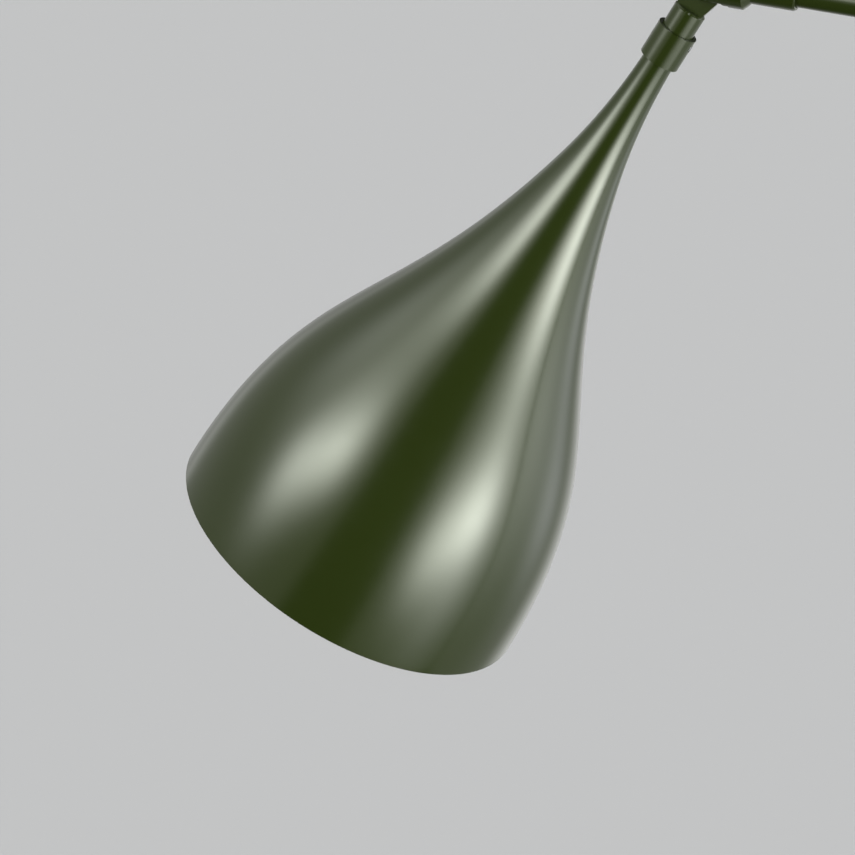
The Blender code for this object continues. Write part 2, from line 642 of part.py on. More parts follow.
def stem_pieces():
    turned("stem_collar",
           [(STEM_RADIUS + GAP, plug_bottom + COLLAR_HEIGHT),
            (STEM_RADIUS + COLLAR_LIP, plug_bottom + COLLAR_HEIGHT)]
           + arc((COLLAR_RADIUS, plug_bottom + COLLAR_HEIGHT),
                 COLLAR_RADIUS - STEM_RADIUS - COLLAR_LIP, 180, 270, 4)
           + [(COLLAR_RADIUS, plug_bottom), (STEM_RADIUS + GAP, plug_bottom)],
           olive_paint, base)
    turned("stem_foot_plug",
           [(nipple_hole, lower_stem_bottom + PLUG_LENGTH),
            (plug_radius, lower_stem_bottom + PLUG_LENGTH),
            (plug_radius, plug_bottom + PLUG_FLANGE), (STEM_RADIUS, plug_bottom + PLUG_FLANGE),
            (STEM_RADIUS, plug_bottom), (nipple_hole, plug_bottom)],
           zinc_steel, base)
    turned("lower_stem", ring(lower_stem_bottom, lower_stem_top, stem_bore, STEM_RADIUS),
           olive_paint, base)
    half_flange = PLUG_FLANGE / 2
    turned("stem_spigot",
           [(NIPPLE_RADIUS, PLUG_LENGTH), (plug_radius, PLUG_LENGTH),
            (plug_radius, half_flange), (STEM_RADIUS, half_flange),
            (STEM_RADIUS, -half_flange), (plug_radius, -half_flange),
            (plug_radius, -PLUG_LENGTH), (NIPPLE_RADIUS, -PLUG_LENGTH)],
           zinc_steel, base, at=(0, 0, STEM_JOINT_HEIGHT))
    turned("upper_stem", ring(upper_stem_bottom, upper_stem_top, stem_bore, STEM_RADIUS),
           olive_paint, base)

    lead_height = PAD_THICKNESS + LEAD_REST
    bend = [(x, 0, z) for x, z in arc((-LEAD_BEND, lead_height + LEAD_BEND), LEAD_BEND, -90, 0, 5)]
    lead_top = ARM_PIVOT_HEIGHT + journal_top - SLIDE_GAP
    wire("stem_wire",
         [(-SWITCH_OFFSET + switch_radius / 2, 0, lead_height)] + bend + [(0, 0, lead_top)],
         LEAD_RADIUS, lead_sheath, base)


# ---------------------------------------------------------------- swivel

def swivel_pieces():
    groove = JOURNAL_RADIUS - JOURNAL_GROOVE
    half_groove = GROOVE_WIDTH / 2
    turned("pivot_post",
           [(NIPPLE_BORE, journal_top), (JOURNAL_RADIUS, journal_top),
            (JOURNAL_RADIUS, groove_middle + half_groove), (groove, groove_middle + half_groove),
            (groove, groove_middle - half_groove), (JOURNAL_RADIUS, groove_middle - half_groove),
            (JOURNAL_RADIUS, post_flange_top), (POST_FLANGE_RADIUS, post_flange_top),
            (POST_FLANGE_RADIUS, post_flange_bottom), (plug_radius, post_flange_bottom),
            (plug_radius, post_flange_bottom - PLUG_LENGTH),
            (NIPPLE_BORE, post_flange_bottom - PLUG_LENGTH)],
           zinc_steel, swivel)
    bush = turned("swivel_bush",
                  [(bush_bore, bush_top), (bush_radius, bush_top),
                   (bush_radius, bush_bottom + BUSH_FLANGE),
                   (POST_FLANGE_RADIUS, bush_bottom + BUSH_FLANGE),
                   (POST_FLANGE_RADIUS, bush_bottom), (bush_bore, bush_bottom)],
                  white_plastic, swivel)
    body = fork("swivel_fork",
                [(0, SWIVEL_BARREL), (SWIVEL_BARREL, SWIVEL_BARREL),
                 (SWIVEL_BARREL, housing_bottom + SWIVEL_TAPER),
                 (SWIVEL_BARREL - SWIVEL_TAPER, housing_bottom), (0, housing_bottom)],
                ARM_EAR, SWIVEL_BARREL, arm_fork_width, arm_slot, ARM_SLOT_FLOOR,
                arm_bolt_hole, olive_paint, swivel)
    cut_round(body, "bush_bore", housing_bore, housing_bottom - OVERCUT, housing_roof,
              steps=TUBE_STEPS)
    grub_screw("swivel_grub_screw", groove, SWIVEL_BARREL, groove_middle, zinc_steel, swivel,
               (body, bush))

    half = arm_fork_width / 2
    bolt_end = half + KNOB_HUB_LENGTH + KNOB_BORE_DEPTH - THREAD_END
    turned("arm_bolt",
           [(0, half + GAP + ARM_BOLT_HEAD_LENGTH),
            (ARM_BOLT_HEAD - CHAMFER, half + GAP + ARM_BOLT_HEAD_LENGTH),
            (ARM_BOLT_HEAD, half + GAP + ARM_BOLT_HEAD_LENGTH - CHAMFER),
            (ARM_BOLT_HEAD, half + GAP), (ARM_BOLT, half + GAP), (ARM_BOLT, -bolt_end),
            (0, -bolt_end)],
           zinc_steel, swivel, SMALL_STEPS, turn=ALONG_Y)
    seat = ARM_TONGUE / 2 + GAP
    for name, side in (("arm_washer_front", -1), ("arm_washer_back", 1)):
        low, high = sorted((side * seat, side * (seat + ARM_WASHER)))
        turned(name, ring(low, high, arm_bolt_hole, ARM_WASHER_RADIUS), black_plastic,
               swivel, SMALL_STEPS, turn=ALONG_Y)


def knob_pieces():
    count = 6 * KNOB_LOBES
    lobes = []
    for i in range(count):
        angle = 2 * math.pi * i / count
        radius = KNOB_RADIUS - KNOB_LOBE + KNOB_LOBE * math.cos(KNOB_LOBES * angle)
        lobes.append((radius * math.cos(angle), radius * math.sin(angle)))
    face = -arm_fork_width / 2 - GAP
    plate_near = face - KNOB_HUB_LENGTH
    knob = flat_outline("arm_knob", lobes, KNOB_THICKNESS, black_plastic, swivel,
                        (0, plate_near - KNOB_THICKNESS / 2, 0), FACING_Y)
    hub = turned("arm_knob_hub", disc(plate_near - OVERCUT, face, KNOB_HUB), None, swivel,
                 SMALL_STEPS, turn=ALONG_Y)
    combine(knob, hub, "UNION")
    cut_round(knob, "thread", arm_bolt_hole, plate_near - KNOB_BORE_DEPTH, face + OVERCUT, "Y")


# ---------------------------------------------------------------- arm

def arm_pieces():
    body = knuckle("arm_knuckle", ARM_EAR, ARM_TONGUE, ARM_SHOULDER, arm_socket,
                   arm_socket_end, arm_bolt_hole, olive_paint, arm)
    cut_round(body, "tube_bore", tube_socket, ARM_SHOULDER + ARM_SOCKET_FLOOR,
              arm_socket_end + OVERCUT, steps=TUBE_STEPS)
    grub_screw("arm_knuckle_screw", -ARM_TUBE_RADIUS, -arm_socket, arm_socket_end - SCREW_INSET,
               zinc_steel, arm, (body,))
    turned("arm_tube",
           ring(arm_tube_start, arm_tube_end, ARM_TUBE_RADIUS - ARM_TUBE_WALL, ARM_TUBE_RADIUS),
           olive_paint, arm)
    wire("arm_wire", [(0, 0, arm_tube_start + GAP), (0, 0, arm_tube_end - GAP)],
         LEAD_RADIUS, lead_sheath, arm)


def elbow_pieces():
    narrow = -ELBOW_BARREL_LENGTH
    body = fork("elbow_fork",
                [(0, ELBOW_BARREL), (ELBOW_BARREL, ELBOW_BARREL), (ELBOW_BARREL, narrow),
                 (elbow_socket, narrow - (ELBOW_BARREL - elbow_socket)),
                 (elbow_socket, -ELBOW_SOCKET_END + CHAMFER),
                 (elbow_socket - CHAMFER / 2, -ELBOW_SOCKET_END),
                 (0, -ELBOW_SOCKET_END)],
                ELBOW_EAR, ELBOW_BARREL, elbow_fork_width, elbow_slot, ELBOW_SLOT_FLOOR,
                elbow_bolt_hole, olive_paint, elbow)
    cut_round(body, "tube_bore", tube_socket, -ELBOW_SOCKET_END - OVERCUT, elbow_socket_floor,
              steps=TUBE_STEPS)
    grub_screw("elbow_fork_screw", -ARM_TUBE_RADIUS, -elbow_socket, -ELBOW_SOCKET_END + SCREW_INSET,
               zinc_steel, elbow, (body,))

    half = elbow_fork_width / 2
    bolt_end = half + GAP + ELBOW_NUT_LENGTH - 2 * THREAD_END
    turned("elbow_bolt",
           [(0, half + GAP + ELBOW_BOLT_HEAD_LENGTH),
            (ELBOW_BOLT_HEAD - CHAMFER, half + GAP + ELBOW_BOLT_HEAD_LENGTH),
            (ELBOW_BOLT_HEAD, half + GAP + ELBOW_BOLT_HEAD_LENGTH - CHAMFER),
            (ELBOW_BOLT_HEAD, half + GAP), (ELBOW_BOLT, half + GAP), (ELBOW_BOLT, -bolt_end),
            (0, -bolt_end)],
           zinc_steel, elbow, SMALL_STEPS, turn=ALONG_Y)
    nut = hexagon("elbow_nut", ELBOW_NUT_FLATS, -half - GAP - ELBOW_NUT_LENGTH, -half - GAP,
                  zinc_steel, elbow, ALONG_Y)
    cut_round(nut, "thread", elbow_bolt_hole, -bolt_end - GAP, 0, "Y")
    seat = ELBOW_TONGUE / 2 + GAP
    for name, side in (("elbow_washer_front", -1), ("elbow_washer_back", 1)):
        low, high = sorted((side * seat, side * (seat + ELBOW_WASHER)))
        turned(name, ring(low, high, elbow_bolt_hole, ELBOW_WASHER_RADIUS), black_plastic,
               elbow, SMALL_STEPS, turn=ALONG_Y)


# ---------------------------------------------------------------- shade

def bell_curve(inset, count):
    """The bell's wall from the rim to the throat, moved in by inset."""
    rim_lean = math.radians(RIM_TAPER)
    throat_lean = math.radians(THROAT_TAPER)
    rim_point = (SHADE_RIM_RADIUS - inset, rim)
    rim_handle = (rim_point[0] - RIM_PULL * math.sin(rim_lean),
                  rim - RIM_PULL * math.cos(rim_lean))
    throat_point = (SHADE_THROAT_RADIUS - inset, throat)
    throat_handle = (throat_point[0] + THROAT_PULL * math.sin(throat_lean),
                     throat + THROAT_PULL * math.cos(throat_lean))
    return bezier(rim_point, rim_handle, throat_handle, throat_point, count)


def neck_curve(inset, count):
    """The neck's wall from the throat to its top, moved in by inset."""
    lean = math.radians(THROAT_TAPER)
    start = (SHADE_THROAT_RADIUS - inset, throat)
    leave = (start[0] - NECK_PULL * math.sin(lean), throat - NECK_PULL * math.cos(lean))
    arrive = (NECK_RADIUS - inset, neck_start + NECK_PULL)
    return bezier(start, leave, arrive, (NECK_RADIUS - inset, neck_start), count)


def bell_place(radius):
    """The distance from the elbow at which the bell's wall has this radius."""
    curve = bell_curve(0, 200)
    for (wide, low), (narrow, high) in zip(curve, curve[1:]):
        if wide >= radius >= narrow:
            return low + (high - low) * (wide - radius) / (wide - narrow)
    return throat


def shade_pieces():
    body = knuckle("neck_knuckle", ELBOW_EAR, ELBOW_TONGUE, ELBOW_SHOULDER, NECK_BARREL,
                   neck_barrel_end, elbow_bolt_hole, olive_paint, head)
    cut_round(body, "thread", carrier_hole, neck_barrel_end - NECK_THREAD_DEPTH,
              neck_barrel_end + OVERCUT)
    outer = bell_curve(0, 10) + neck_curve(0, 4)[1:]
    inner = bell_curve(SHADE_WALL, 10) + neck_curve(SHADE_WALL, 4)[1:]
    lip = [(carrier_hole, neck_start), (carrier_hole, neck_start + SHADE_WALL)]
    inner[-1] = (inner[-1][0], neck_start + SHADE_WALL)
    turned("shade", outer + lip + inner[::-1], olive_paint, head, SHADE_STEPS)

    ferrule_bore = NECK_BARREL + GAP
    ferrule_end = neck_start + FERRULE_OVERLAP
    ferrule = turned("neck_ferrule",
                     ring(ferrule_end - FERRULE_LENGTH, ferrule_end, ferrule_bore,
                          ferrule_bore + FERRULE_WALL, CHAMFER / 2),
                     olive_paint, head)
    grub_screw("neck_screw", -NECK_BARREL, -ferrule_bore - FERRULE_WALL,
               ferrule_end - FERRULE_LENGTH + FERRULE_SCREW, zinc_steel, head, (ferrule,))
    turned("neck_spacer",
           ring(spacer_start, spacer_start + SPACER_LENGTH, carrier_hole,
                carrier_hole + SPACER_WALL),
           brass, head, SMALL_STEPS)


def lampholder_pieces():
    cap_skirt_top = bell_place(HOLDER_RADIUS + HOLDER_AIR + SHADE_WALL)
    cap_top = cap_skirt_top - HOLDER_CAP_DOME
    cap_bottom = cap_skirt_top + HOLDER_CAP_SKIRT
    crown = HOLDER_CAP_CROWN
    wall = HOLDER_CAP_WALL
    inner_pull = HOLDER_CAP_INNER_PULL
    outer_dome = bezier((HOLDER_RADIUS, cap_skirt_top),
                        (HOLDER_RADIUS, cap_skirt_top - HOLDER_CAP_PULL),
                        (crown + HOLDER_CAP_PULL, cap_top), (crown, cap_top), 4)
    inner_dome = bezier((crown, cap_top + wall), (crown + inner_pull, cap_top + wall),
                        (HOLDER_RADIUS - wall, cap_skirt_top - inner_pull),
                        (HOLDER_RADIUS - wall, cap_skirt_top), 4)
    turned("lampholder_cap",
           [(HOLDER_RADIUS, cap_bottom)] + outer_dome
           + [(carrier_hole, cap_top), (carrier_hole, cap_top + wall)] + inner_dome
           + [(HOLDER_RADIUS - wall, cap_bottom)],
           black_plastic, head)
    carrier_end = cap_top + wall + CARRIER_STUB
    turned("carrier_tube", ring(carrier_start, carrier_end, CARRIER_BORE, CARRIER_RADIUS),
           zinc_steel, head, SMALL_STEPS)
    nut_low = cap_top - GAP - HOLDER_NUT_THICKNESS
    nut = hexagon("lampholder_nut", HOLDER_NUT_FLATS, nut_low, cap_top - GAP, zinc_steel, head)
    cut_round(nut, "thread", carrier_hole, nut_low - OVERCUT, cap_top + OVERCUT)

    body_start = cap_bottom + GAP
    body_end = body_start + HOLDER_BODY_LENGTH
    socket_floor = body_start + HOLDER_BODY_FLOOR
    thread_bore = BULB_CAP_RADIUS + SLIDE_GAP
    thread_radius = thread_bore + THREAD_WALL
    socket = thread_radius + GAP
    turned("lampholder_body",
           [(socket, body_end), (HOLDER_RADIUS - 2 * CHAMFER, body_end),
            (HOLDER_RADIUS - CHAMFER, body_end - CHAMFER),
            (HOLDER_RADIUS - CHAMFER / 2, body_start),
            (0, body_start), (0, socket_floor), (socket, socket_floor)],
           black_plastic, head)
    contact_end = socket_floor + GAP + CONTACT_THICKNESS
    turned("lampholder_contact", disc(socket_floor + GAP, contact_end, CONTACT_RADIUS),
           brass, head, SMALL_STEPS)
    tip = contact_end + GAP
    cap_edge = tip + BULB_TIP_LENGTH
    bulb_cap_end = cap_edge + BULB_CAP_LENGTH
    turned("lampholder_thread",
           ring(cap_edge, bulb_cap_end - THREAD_SHORT, thread_bore, thread_radius),
           brass, head)
    turned("bulb_cap",
           [(0, bulb_cap_end), (BULB_CAP_RADIUS, bulb_cap_end),
            (BULB_CAP_RADIUS, cap_edge + CHAMFER), (BULB_CAP_RADIUS - CHAMFER, cap_edge),
            (BULB_CAP_RADIUS / 2, tip + 1.5 * CHAMFER), (CONTACT_RADIUS - CHAMFER, tip),
            (0, tip)],
           zinc_steel, head)

    glass_start = bulb_cap_end + GAP
    glass_end = glass_start + BULB_GLASS_LENGTH
    globe = glass_end - BULB_RADIUS

    def glass_wall(inset, count):
        cap = arc((0, globe), BULB_RADIUS - inset, 90, 0, 4)
        flare = bezier((BULB_RADIUS - inset, globe),
                       (BULB_RADIUS - inset, globe - BULB_GLOBE_PULL),
                       (BULB_NECK_RADIUS - inset, glass_start + BULB_NECK_PULL),
                       (BULB_NECK_RADIUS - inset, glass_start), count)
        return cap + flare[1:]

    inside = glass_wall(BULB_GLASS_WALL, 4)[::-1]
    turned("bulb_glass", glass_wall(0, 4) + inside, glass, head)
    wire("neck_wire", [(0, 0, carrier_start + GAP), (0, 0, cap_bottom - SLIDE_GAP)],
         LEAD_RADIUS, lead_sheath, head)


base_pieces()
foot_switch_pieces()
stem_pieces()
swivel_pieces()
knob_pieces()
arm_pieces()
elbow_pieces()
shade_pieces()
lampholder_pieces()
bpy.context.view_layer.update()
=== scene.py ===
"""Looks of an adjustable arm floor lamp: weighted round base with a foot switch, two-piece
stem, swivelling fork, tilting arm, and a long-necked spun bell shade over a screw-base bulb."""

import json
import math

import bpy
from mathutils import Matrix, Vector


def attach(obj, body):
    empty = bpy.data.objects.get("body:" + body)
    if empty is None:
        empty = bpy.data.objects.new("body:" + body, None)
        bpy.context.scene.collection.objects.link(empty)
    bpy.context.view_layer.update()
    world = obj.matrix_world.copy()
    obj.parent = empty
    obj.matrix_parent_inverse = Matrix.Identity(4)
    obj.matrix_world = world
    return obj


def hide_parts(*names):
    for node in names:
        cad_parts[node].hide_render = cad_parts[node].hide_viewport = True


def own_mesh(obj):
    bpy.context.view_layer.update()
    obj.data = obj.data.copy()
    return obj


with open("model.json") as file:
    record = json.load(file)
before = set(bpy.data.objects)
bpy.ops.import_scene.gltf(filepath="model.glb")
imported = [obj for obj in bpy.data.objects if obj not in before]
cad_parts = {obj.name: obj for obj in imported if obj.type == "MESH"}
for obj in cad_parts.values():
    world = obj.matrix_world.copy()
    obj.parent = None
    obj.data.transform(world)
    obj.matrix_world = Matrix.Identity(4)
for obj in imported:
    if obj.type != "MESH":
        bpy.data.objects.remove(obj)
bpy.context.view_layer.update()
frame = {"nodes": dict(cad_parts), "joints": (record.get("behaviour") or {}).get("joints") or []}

MM = 0.001

# ---------------------------------------------------------------- studio
# A pale floor that runs on to a pale surround. Two clusters of soft boxes stand left and right
# of the camera, each in front of a dim panel, with a dark gap between the panels where the
# camera stands, and a third panel lights the lamp from behind. The floor throws no light,
# shadow or reflection on the lamp; the lamp's own shadow does fall on the floor.


class Wire:
    """One output of a shader node; a sum written on it adds its Math nodes."""

    def __init__(self, shader, socket):
        self.shader = shader
        self.socket = socket

    def also(self, output):
        """Another output of the same node."""
        return Wire(self.shader, self.socket.node.outputs[output])

    def maths(self, operation, first, second=0.0):
        return self.shader.node("Math", {"operation": operation}, {0: first, 1: second})

    def __add__(self, other):
        return self.maths("ADD", self, other)

    def __radd__(self, other):
        return self.maths("ADD", other, self)

    def __sub__(self, other):
        return self.maths("SUBTRACT", self, other)

    def __rsub__(self, other):
        return self.maths("SUBTRACT", other, self)

    def __mul__(self, other):
        return self.maths("MULTIPLY", self, other)

    def __rmul__(self, other):
        return self.maths("MULTIPLY", other, self)

    def __pow__(self, other):
        return self.maths("POWER", self, other)

    def exponent(self):
        return self.maths("EXPONENT", self)


class Shader:
    """A node tree, emptied and built up again by name."""

    def __init__(self, tree):
        self.tree = tree
        tree.nodes.clear()

    def node(self, kind, settings=None, sockets=None, output=0):
        """Add a node: its settings first, then a value or a link for each socket."""
        made = self.tree.nodes.new("ShaderNode" + kind)
        for name, value in (settings or {}).items():
            setattr(made, name, value)
        for name, value in (sockets or {}).items():
            if isinstance(value, Wire):
                self.tree.links.new(value.socket, made.inputs[name])
            else:
                made.inputs[name].default_value = value
        return None if output is None else Wire(self, made.outputs[output])


def bearing(azimuth, elevation):
    """The direction at an azimuth from +X towards +Y and a height above level, in degrees."""
    turn, rise = math.radians(azimuth), math.radians(elevation)
    return Vector((math.cos(rise) * math.cos(turn), math.cos(rise) * math.sin(turn),
                   math.sin(rise)))


FLOOR_SIZE = 80.0
FLOOR_COLOUR = (0.505, 0.510, 0.460, 1)
SURROUND = 0.546               # linear grey of the floor and of what lies past its edge
AMBIENT = 0.01                 # light from where there is no lamp
LEFT_BOXES = (                 # azimuth, elevation, spread in degrees, strength
    (-115, 25, 9, 12),
    (-135, 20, 9, 8.5),
    (-130, 40, 9, 2.5),
    (-150, 30, 12, 1),
    (-170, 55, 13, 2.5),
)
RIGHT_BOXES = (
    (-20, -20, 9, 17),
    (-40, -25, 9, 8.5),
    (-35, -10, 9, 3.5),
    (-20, -40, 9, 2.5),
    (-10, 10, 12, 2.5),
    (10, -30, 12, 1),
    (15, -5, 13, 3.5),
    (45, -25, 9, 1.5),
)
COOL_WHITE = (1.0, 1.0, 1.16, 1)
GAP_SIDE = (18, -29)           # the side from which the gap between the panels is measured
CAMERA_SIDE = (-69, 18)
PANELS = (                     # side, cosines where a panel begins and is full, strength
    (GAP_SIDE, -0.32, -0.46, 0.50),
    (GAP_SIDE, 0.20, 0.34, 0.40),
    (CAMERA_SIDE, -0.70, -0.90, 0.50),
)

world = bpy.data.worlds.new("studio")
world.use_nodes = True
bpy.context.scene.world = world
surround = Shader(world.node_tree)
seen_from = surround.node("TexCoord", output="Generated")


def facing(direction):
    """The cosine between what is looked at and a direction."""
    return surround.node("VectorMath", {"operation": "DOT_PRODUCT"},
                         {0: seen_from, 1: direction}, "Value")


glow = 0.0
for azimuth, elevation, spread, strength in LEFT_BOXES + RIGHT_BOXES:
    tightness = 1 / math.radians(spread) ** 2
    lobe = ((facing(bearing(azimuth, elevation)) - 1) * tightness).exponent()
    glow = lobe * strength + glow
even = AMBIENT
for side, begins, full, strength in PANELS:
    panel = surround.node("MapRange", {"interpolation_type": "SMOOTHSTEP"},
                          {"Value": facing(bearing(*side)), "From Min": begins,
                           "From Max": full, "To Min": 0.0, "To Max": strength})
    even = panel + even
boxes = surround.node("Background", sockets={"Color": COOL_WHITE, "Strength": glow})
panels = surround.node("Background", sockets={"Color": (1, 1, 1, 1), "Strength": even})
lit = surround.node("AddShader", sockets={0: boxes, 1: panels})
pale = surround.node("Background",
                     sockets={"Color": (SURROUND, SURROUND, SURROUND, 1), "Strength": 1.0})
looked_at = surround.node("LightPath", output="Is Camera Ray")
both = surround.node("MixShader", sockets={0: looked_at, 1: lit, 2: pale})
surround.node("OutputWorld", sockets={"Surface": both}, output=None)

bpy.ops.object.select_all(action="DESELECT")
bpy.ops.mesh.primitive_plane_add(size=FLOOR_SIZE)
floor = bpy.context.object
floor.name = "studio_floor"
floor.visible_glossy = False
floor.visible_diffuse = False
floor.visible_shadow = False
floor_paint = bpy.data.materials.new("floor_paint")
floor_paint.use_nodes = True
floor_paint.node_tree.nodes["Principled BSDF"].inputs["Base Color"].default_value = FLOOR_COLOUR
floor_paint.node_tree.nodes["Principled BSDF"].inputs["Roughness"].default_value = 1.0
floor_paint.node_tree.nodes["Principled BSDF"].inputs["Specular IOR Level"].default_value = 0.0
floor.data.materials.append(floor_paint)

CAMERA_PLACE = (-0.074, -1.265, 1.633)
CAMERA_AZIMUTH = 20.6          # degrees, the camera turned left of +Y
CAMERA_FALL = 18.0             # degrees, how far it looks down
CAMERA_LENS = 126.3            # mm on a 36 mm sensor
bpy.ops.object.camera_add(location=CAMERA_PLACE,
                          rotation=(math.radians(90 - CAMERA_FALL), 0,
                                    math.radians(CAMERA_AZIMUTH)))
camera = bpy.context.object
camera.name = "studio_camera"
camera.data.lens = CAMERA_LENS
camera.data.sensor_width = 36.0
camera.data.clip_end = 200.0
bpy.context.scene.camera = camera

bpy.context.scene.view_settings.view_transform = "Standard"
bpy.context.scene.view_settings.look = "None"

# ---------------------------------------------------------------- base pad
# A flat disc of black rubber under the base, pressed into the cover's skirt. Shallow rings
# are moulded in its underside so that it grips a smooth floor.

MERGE = 1e-6
UPRIGHT = Matrix.Identity(4)


def drawn(name, points):
    """Draw a chain through (x, z) points in millimetres, left in edit mode."""
    bpy.ops.object.select_all(action="DESELECT")
    bpy.ops.mesh.primitive_plane_add(size=MM)
    piece = bpy.context.object
    piece.name = piece.data.name = name
    bpy.ops.object.mode_set(mode="EDIT")
    bpy.ops.mesh.select_mode(type="VERT")
    bpy.ops.mesh.merge(type="CENTER")
    x, z = points[0]
    bpy.ops.transform.translate(value=(x * MM, 0, z * MM))
    for (x, z), (next_x, next_z) in zip(points, points[1:]):
        step = ((next_x - x) * MM, 0, (next_z - z) * MM)
        bpy.ops.mesh.extrude_region_move(TRANSFORM_OT_translate={"value": step})
    bpy.ops.mesh.select_all(action="SELECT")
    return piece


def closed():
    """Merge what is doubled, turn the faces outwards and leave edit mode."""
    bpy.ops.mesh.select_all(action="SELECT")
    bpy.ops.mesh.remove_doubles(threshold=MERGE)
    bpy.ops.mesh.normals_make_consistent(inside=False)
    bpy.ops.object.mode_set(mode="OBJECT")


def turned(name, outline, steps=96):
    """Spin an outline of (radius, height) points in millimetres into a solid piece."""
    ring = outline if outline[0][0] == 0 else outline + outline[:1]
    piece = drawn(name, ring)
    bpy.ops.mesh.spin(steps=steps, angle=2 * math.pi, center=(0, 0, 0), axis=(0, 0, 1))
    closed()
    return piece


def worked(piece, kind, **settings):
    """Give a piece a modifier and apply it."""
    bpy.context.view_layer.objects.active = piece
    step = piece.modifiers.new(kind.lower(), kind)
    for name, value in settings.items():
        setattr(step, name, value)
    bpy.ops.object.modifier_apply(modifier=step.name)
    return piece


def softened(piece, width, segments=2, from_angle=32, clamp=True):
    """Round a piece's edges by a width in millimetres, and shade it smooth."""
    bpy.ops.object.select_all(action="DESELECT")
    piece.select_set(True)
    bpy.context.view_layer.objects.active = piece
    bpy.ops.object.shade_smooth()
    worked(piece, "BEVEL", width=width * MM, segments=segments, limit_method="ANGLE",
           angle_limit=math.radians(from_angle), use_clamp_overlap=clamp)
    worked(piece, "WEIGHTED_NORMAL", weight=60, keep_sharp=True)
    return piece


def placed(piece, holder=UPRIGHT, at=(0, 0, 0), turn=(0, 0, 0)):
    """Set a piece in its holder, at a place in millimetres, and bake the place in."""
    bpy.ops.object.select_all(action="DESELECT")
    piece.select_set(True)
    bpy.context.view_layer.objects.active = piece
    about = Matrix.LocRotScale(Vector(at) * MM, None, None)
    for angle, axis in zip(turn, "XYZ"):
        about = about @ Matrix.Rotation(math.radians(angle), 4, axis)
    piece.matrix_world = holder @ about
    bpy.ops.object.transform_apply(location=True, rotation=True, scale=True)
    return piece


class Finish:
    """A procedural finish, whose pattern is centred on a holder's axis."""

    def __init__(self, name, holder=UPRIGHT, **constants):
        self.material = bpy.data.materials.new(name)
        self.material.use_nodes = True
        self.shader = Shader(self.material.node_tree)
        self.node = self.shader.node
        self.surface = self.node("BsdfPrincipled")
        self.inputs = self.surface.socket.node.inputs
        self.node("OutputMaterial", sockets={"Surface": self.surface}, output=None)
        for socket, value in constants.items():
            self.inputs[socket.replace("_", " ")].default_value = value
        where = self.node("TexCoord", output="Object")
        self.local = self.node("Mapping", {"vector_type": "TEXTURE"},
                               {"Vector": where, "Location": holder.translation,
                                "Rotation": holder.to_euler()})

    def feed(self, socket, wire):
        """Link a wire to one of the surface's sockets."""
        self.material.node_tree.links.new(wire.socket, self.inputs[socket])

    def noise(self, scale, detail=2.0, along=None):
        """Smooth noise from 0 to 1; scale is in waves per metre."""
        return self.node("TexNoise", {}, {"Vector": along or self.local, "Scale": scale,
                                          "Detail": detail}, "Fac")

    def rings(self, across, along, detail=3.0):
        """Noise drawn out round the holder's axis, as a lathe leaves it."""
        x = self.node("SeparateXYZ", sockets={"Vector": self.local})
        radius = (x * x + x.also("Y") * x.also("Y")) ** 0.5
        turned_place = self.node("CombineXYZ", sockets={"X": radius * across,
                                                        "Z": x.also("Z") * along})
        return self.noise(1.0, detail, turned_place)

    def tint(self, colour_a, colour_b, factor):
        """Base colour that varies between two colours."""
        mixed = self.node("Mix", {"data_type": "RGBA"},
                          {0: factor, 6: (*colour_a, 1), 7: (*colour_b, 1)}, 2)
        self.feed("Base Color", mixed)
        return mixed

    def grain(self, height, distance, strength=1.0):
        """Surface relief; distance is the height of the relief in millimetres."""
        bump = self.node("Bump", {}, {"Strength": strength, "Distance": distance * MM,
                                      "Height": height})
        self.feed("Normal", bump)
        return bump


finishes = {}


def rubber(holder=UPRIGHT):
    """Matt black rubber with a fine moulded grain and a little dust."""
    made = Finish("black_rubber", holder, Specular_IOR_Level=0.3)
    cloud = made.noise(60, 4)
    made.tint((0.018, 0.018, 0.018), (0.034, 0.033, 0.031), cloud)
    made.feed("Roughness", 0.72 + cloud * 0.16)
    made.grain(made.noise(2200, 2), 0.04, 0.6)
    return made.material


def fitted(piece, finish, body, slot, *nodes, holder=UPRIGHT):
    """Paint or plate a piece and fix it to a body in place of its CAD nodes."""
    key = (finish, tuple(tuple(round(v, 6) for v in row) for row in holder))
    if key not in finishes:
        finishes[key] = finish(holder)
    piece.data.materials.clear()
    piece.data.materials.append(finishes[key])
    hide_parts(*nodes)
    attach(piece, body)
    return piece


grooves = []
for middle in (118, 104, 90, 76, 62, 48, 34):
    grooves += [(middle + 1.4, 0), (middle + 1.0, 0.6), (middle - 1.0, 0.6), (middle - 1.4, 0)]
pad = turned("base_pad_piece", [(0, 3), (126.5, 3), (127, 2.5), (127, 0.5), (126.5, 0)]
             + grooves + [(0, 0)], 160)
softened(pad, 0.15)
fitted(pad, rubber, "stand", "rubber", "base_pad")

# ---------------------------------------------------------------- base weight
# A cast iron disc that keeps the lamp upright. It lies out of sight between pad and cover,
# held down by a nut and a thick washer on the hollow threaded tube that ties it to the stem.


def cast_iron(holder=UPRIGHT):
    """Rough cast iron, dark with a brown bloom."""
    made = Finish("cast_iron", holder, Metallic=1.0)
    cloud = made.noise(45, 6)
    made.tint((0.070, 0.068, 0.066), (0.150, 0.120, 0.095), cloud)
    made.feed("Roughness", 0.55 + cloud * 0.3)
    made.grain(made.noise(700, 5), 0.25)
    return made.material


def zinc_steel(holder=UPRIGHT):
    """Turned and zinc-plated steel, with fine tool rings round its axis."""
    made = Finish("zinc_steel", holder, Metallic=1.0)
    rings = made.rings(9000, 9000)
    made.tint((0.50, 0.51, 0.53), (0.66, 0.66, 0.65), made.noise(300, 3))
    made.feed("Roughness", 0.24 + rings * 0.22)
    made.grain(rings, 0.006, 0.5)
    return made.material


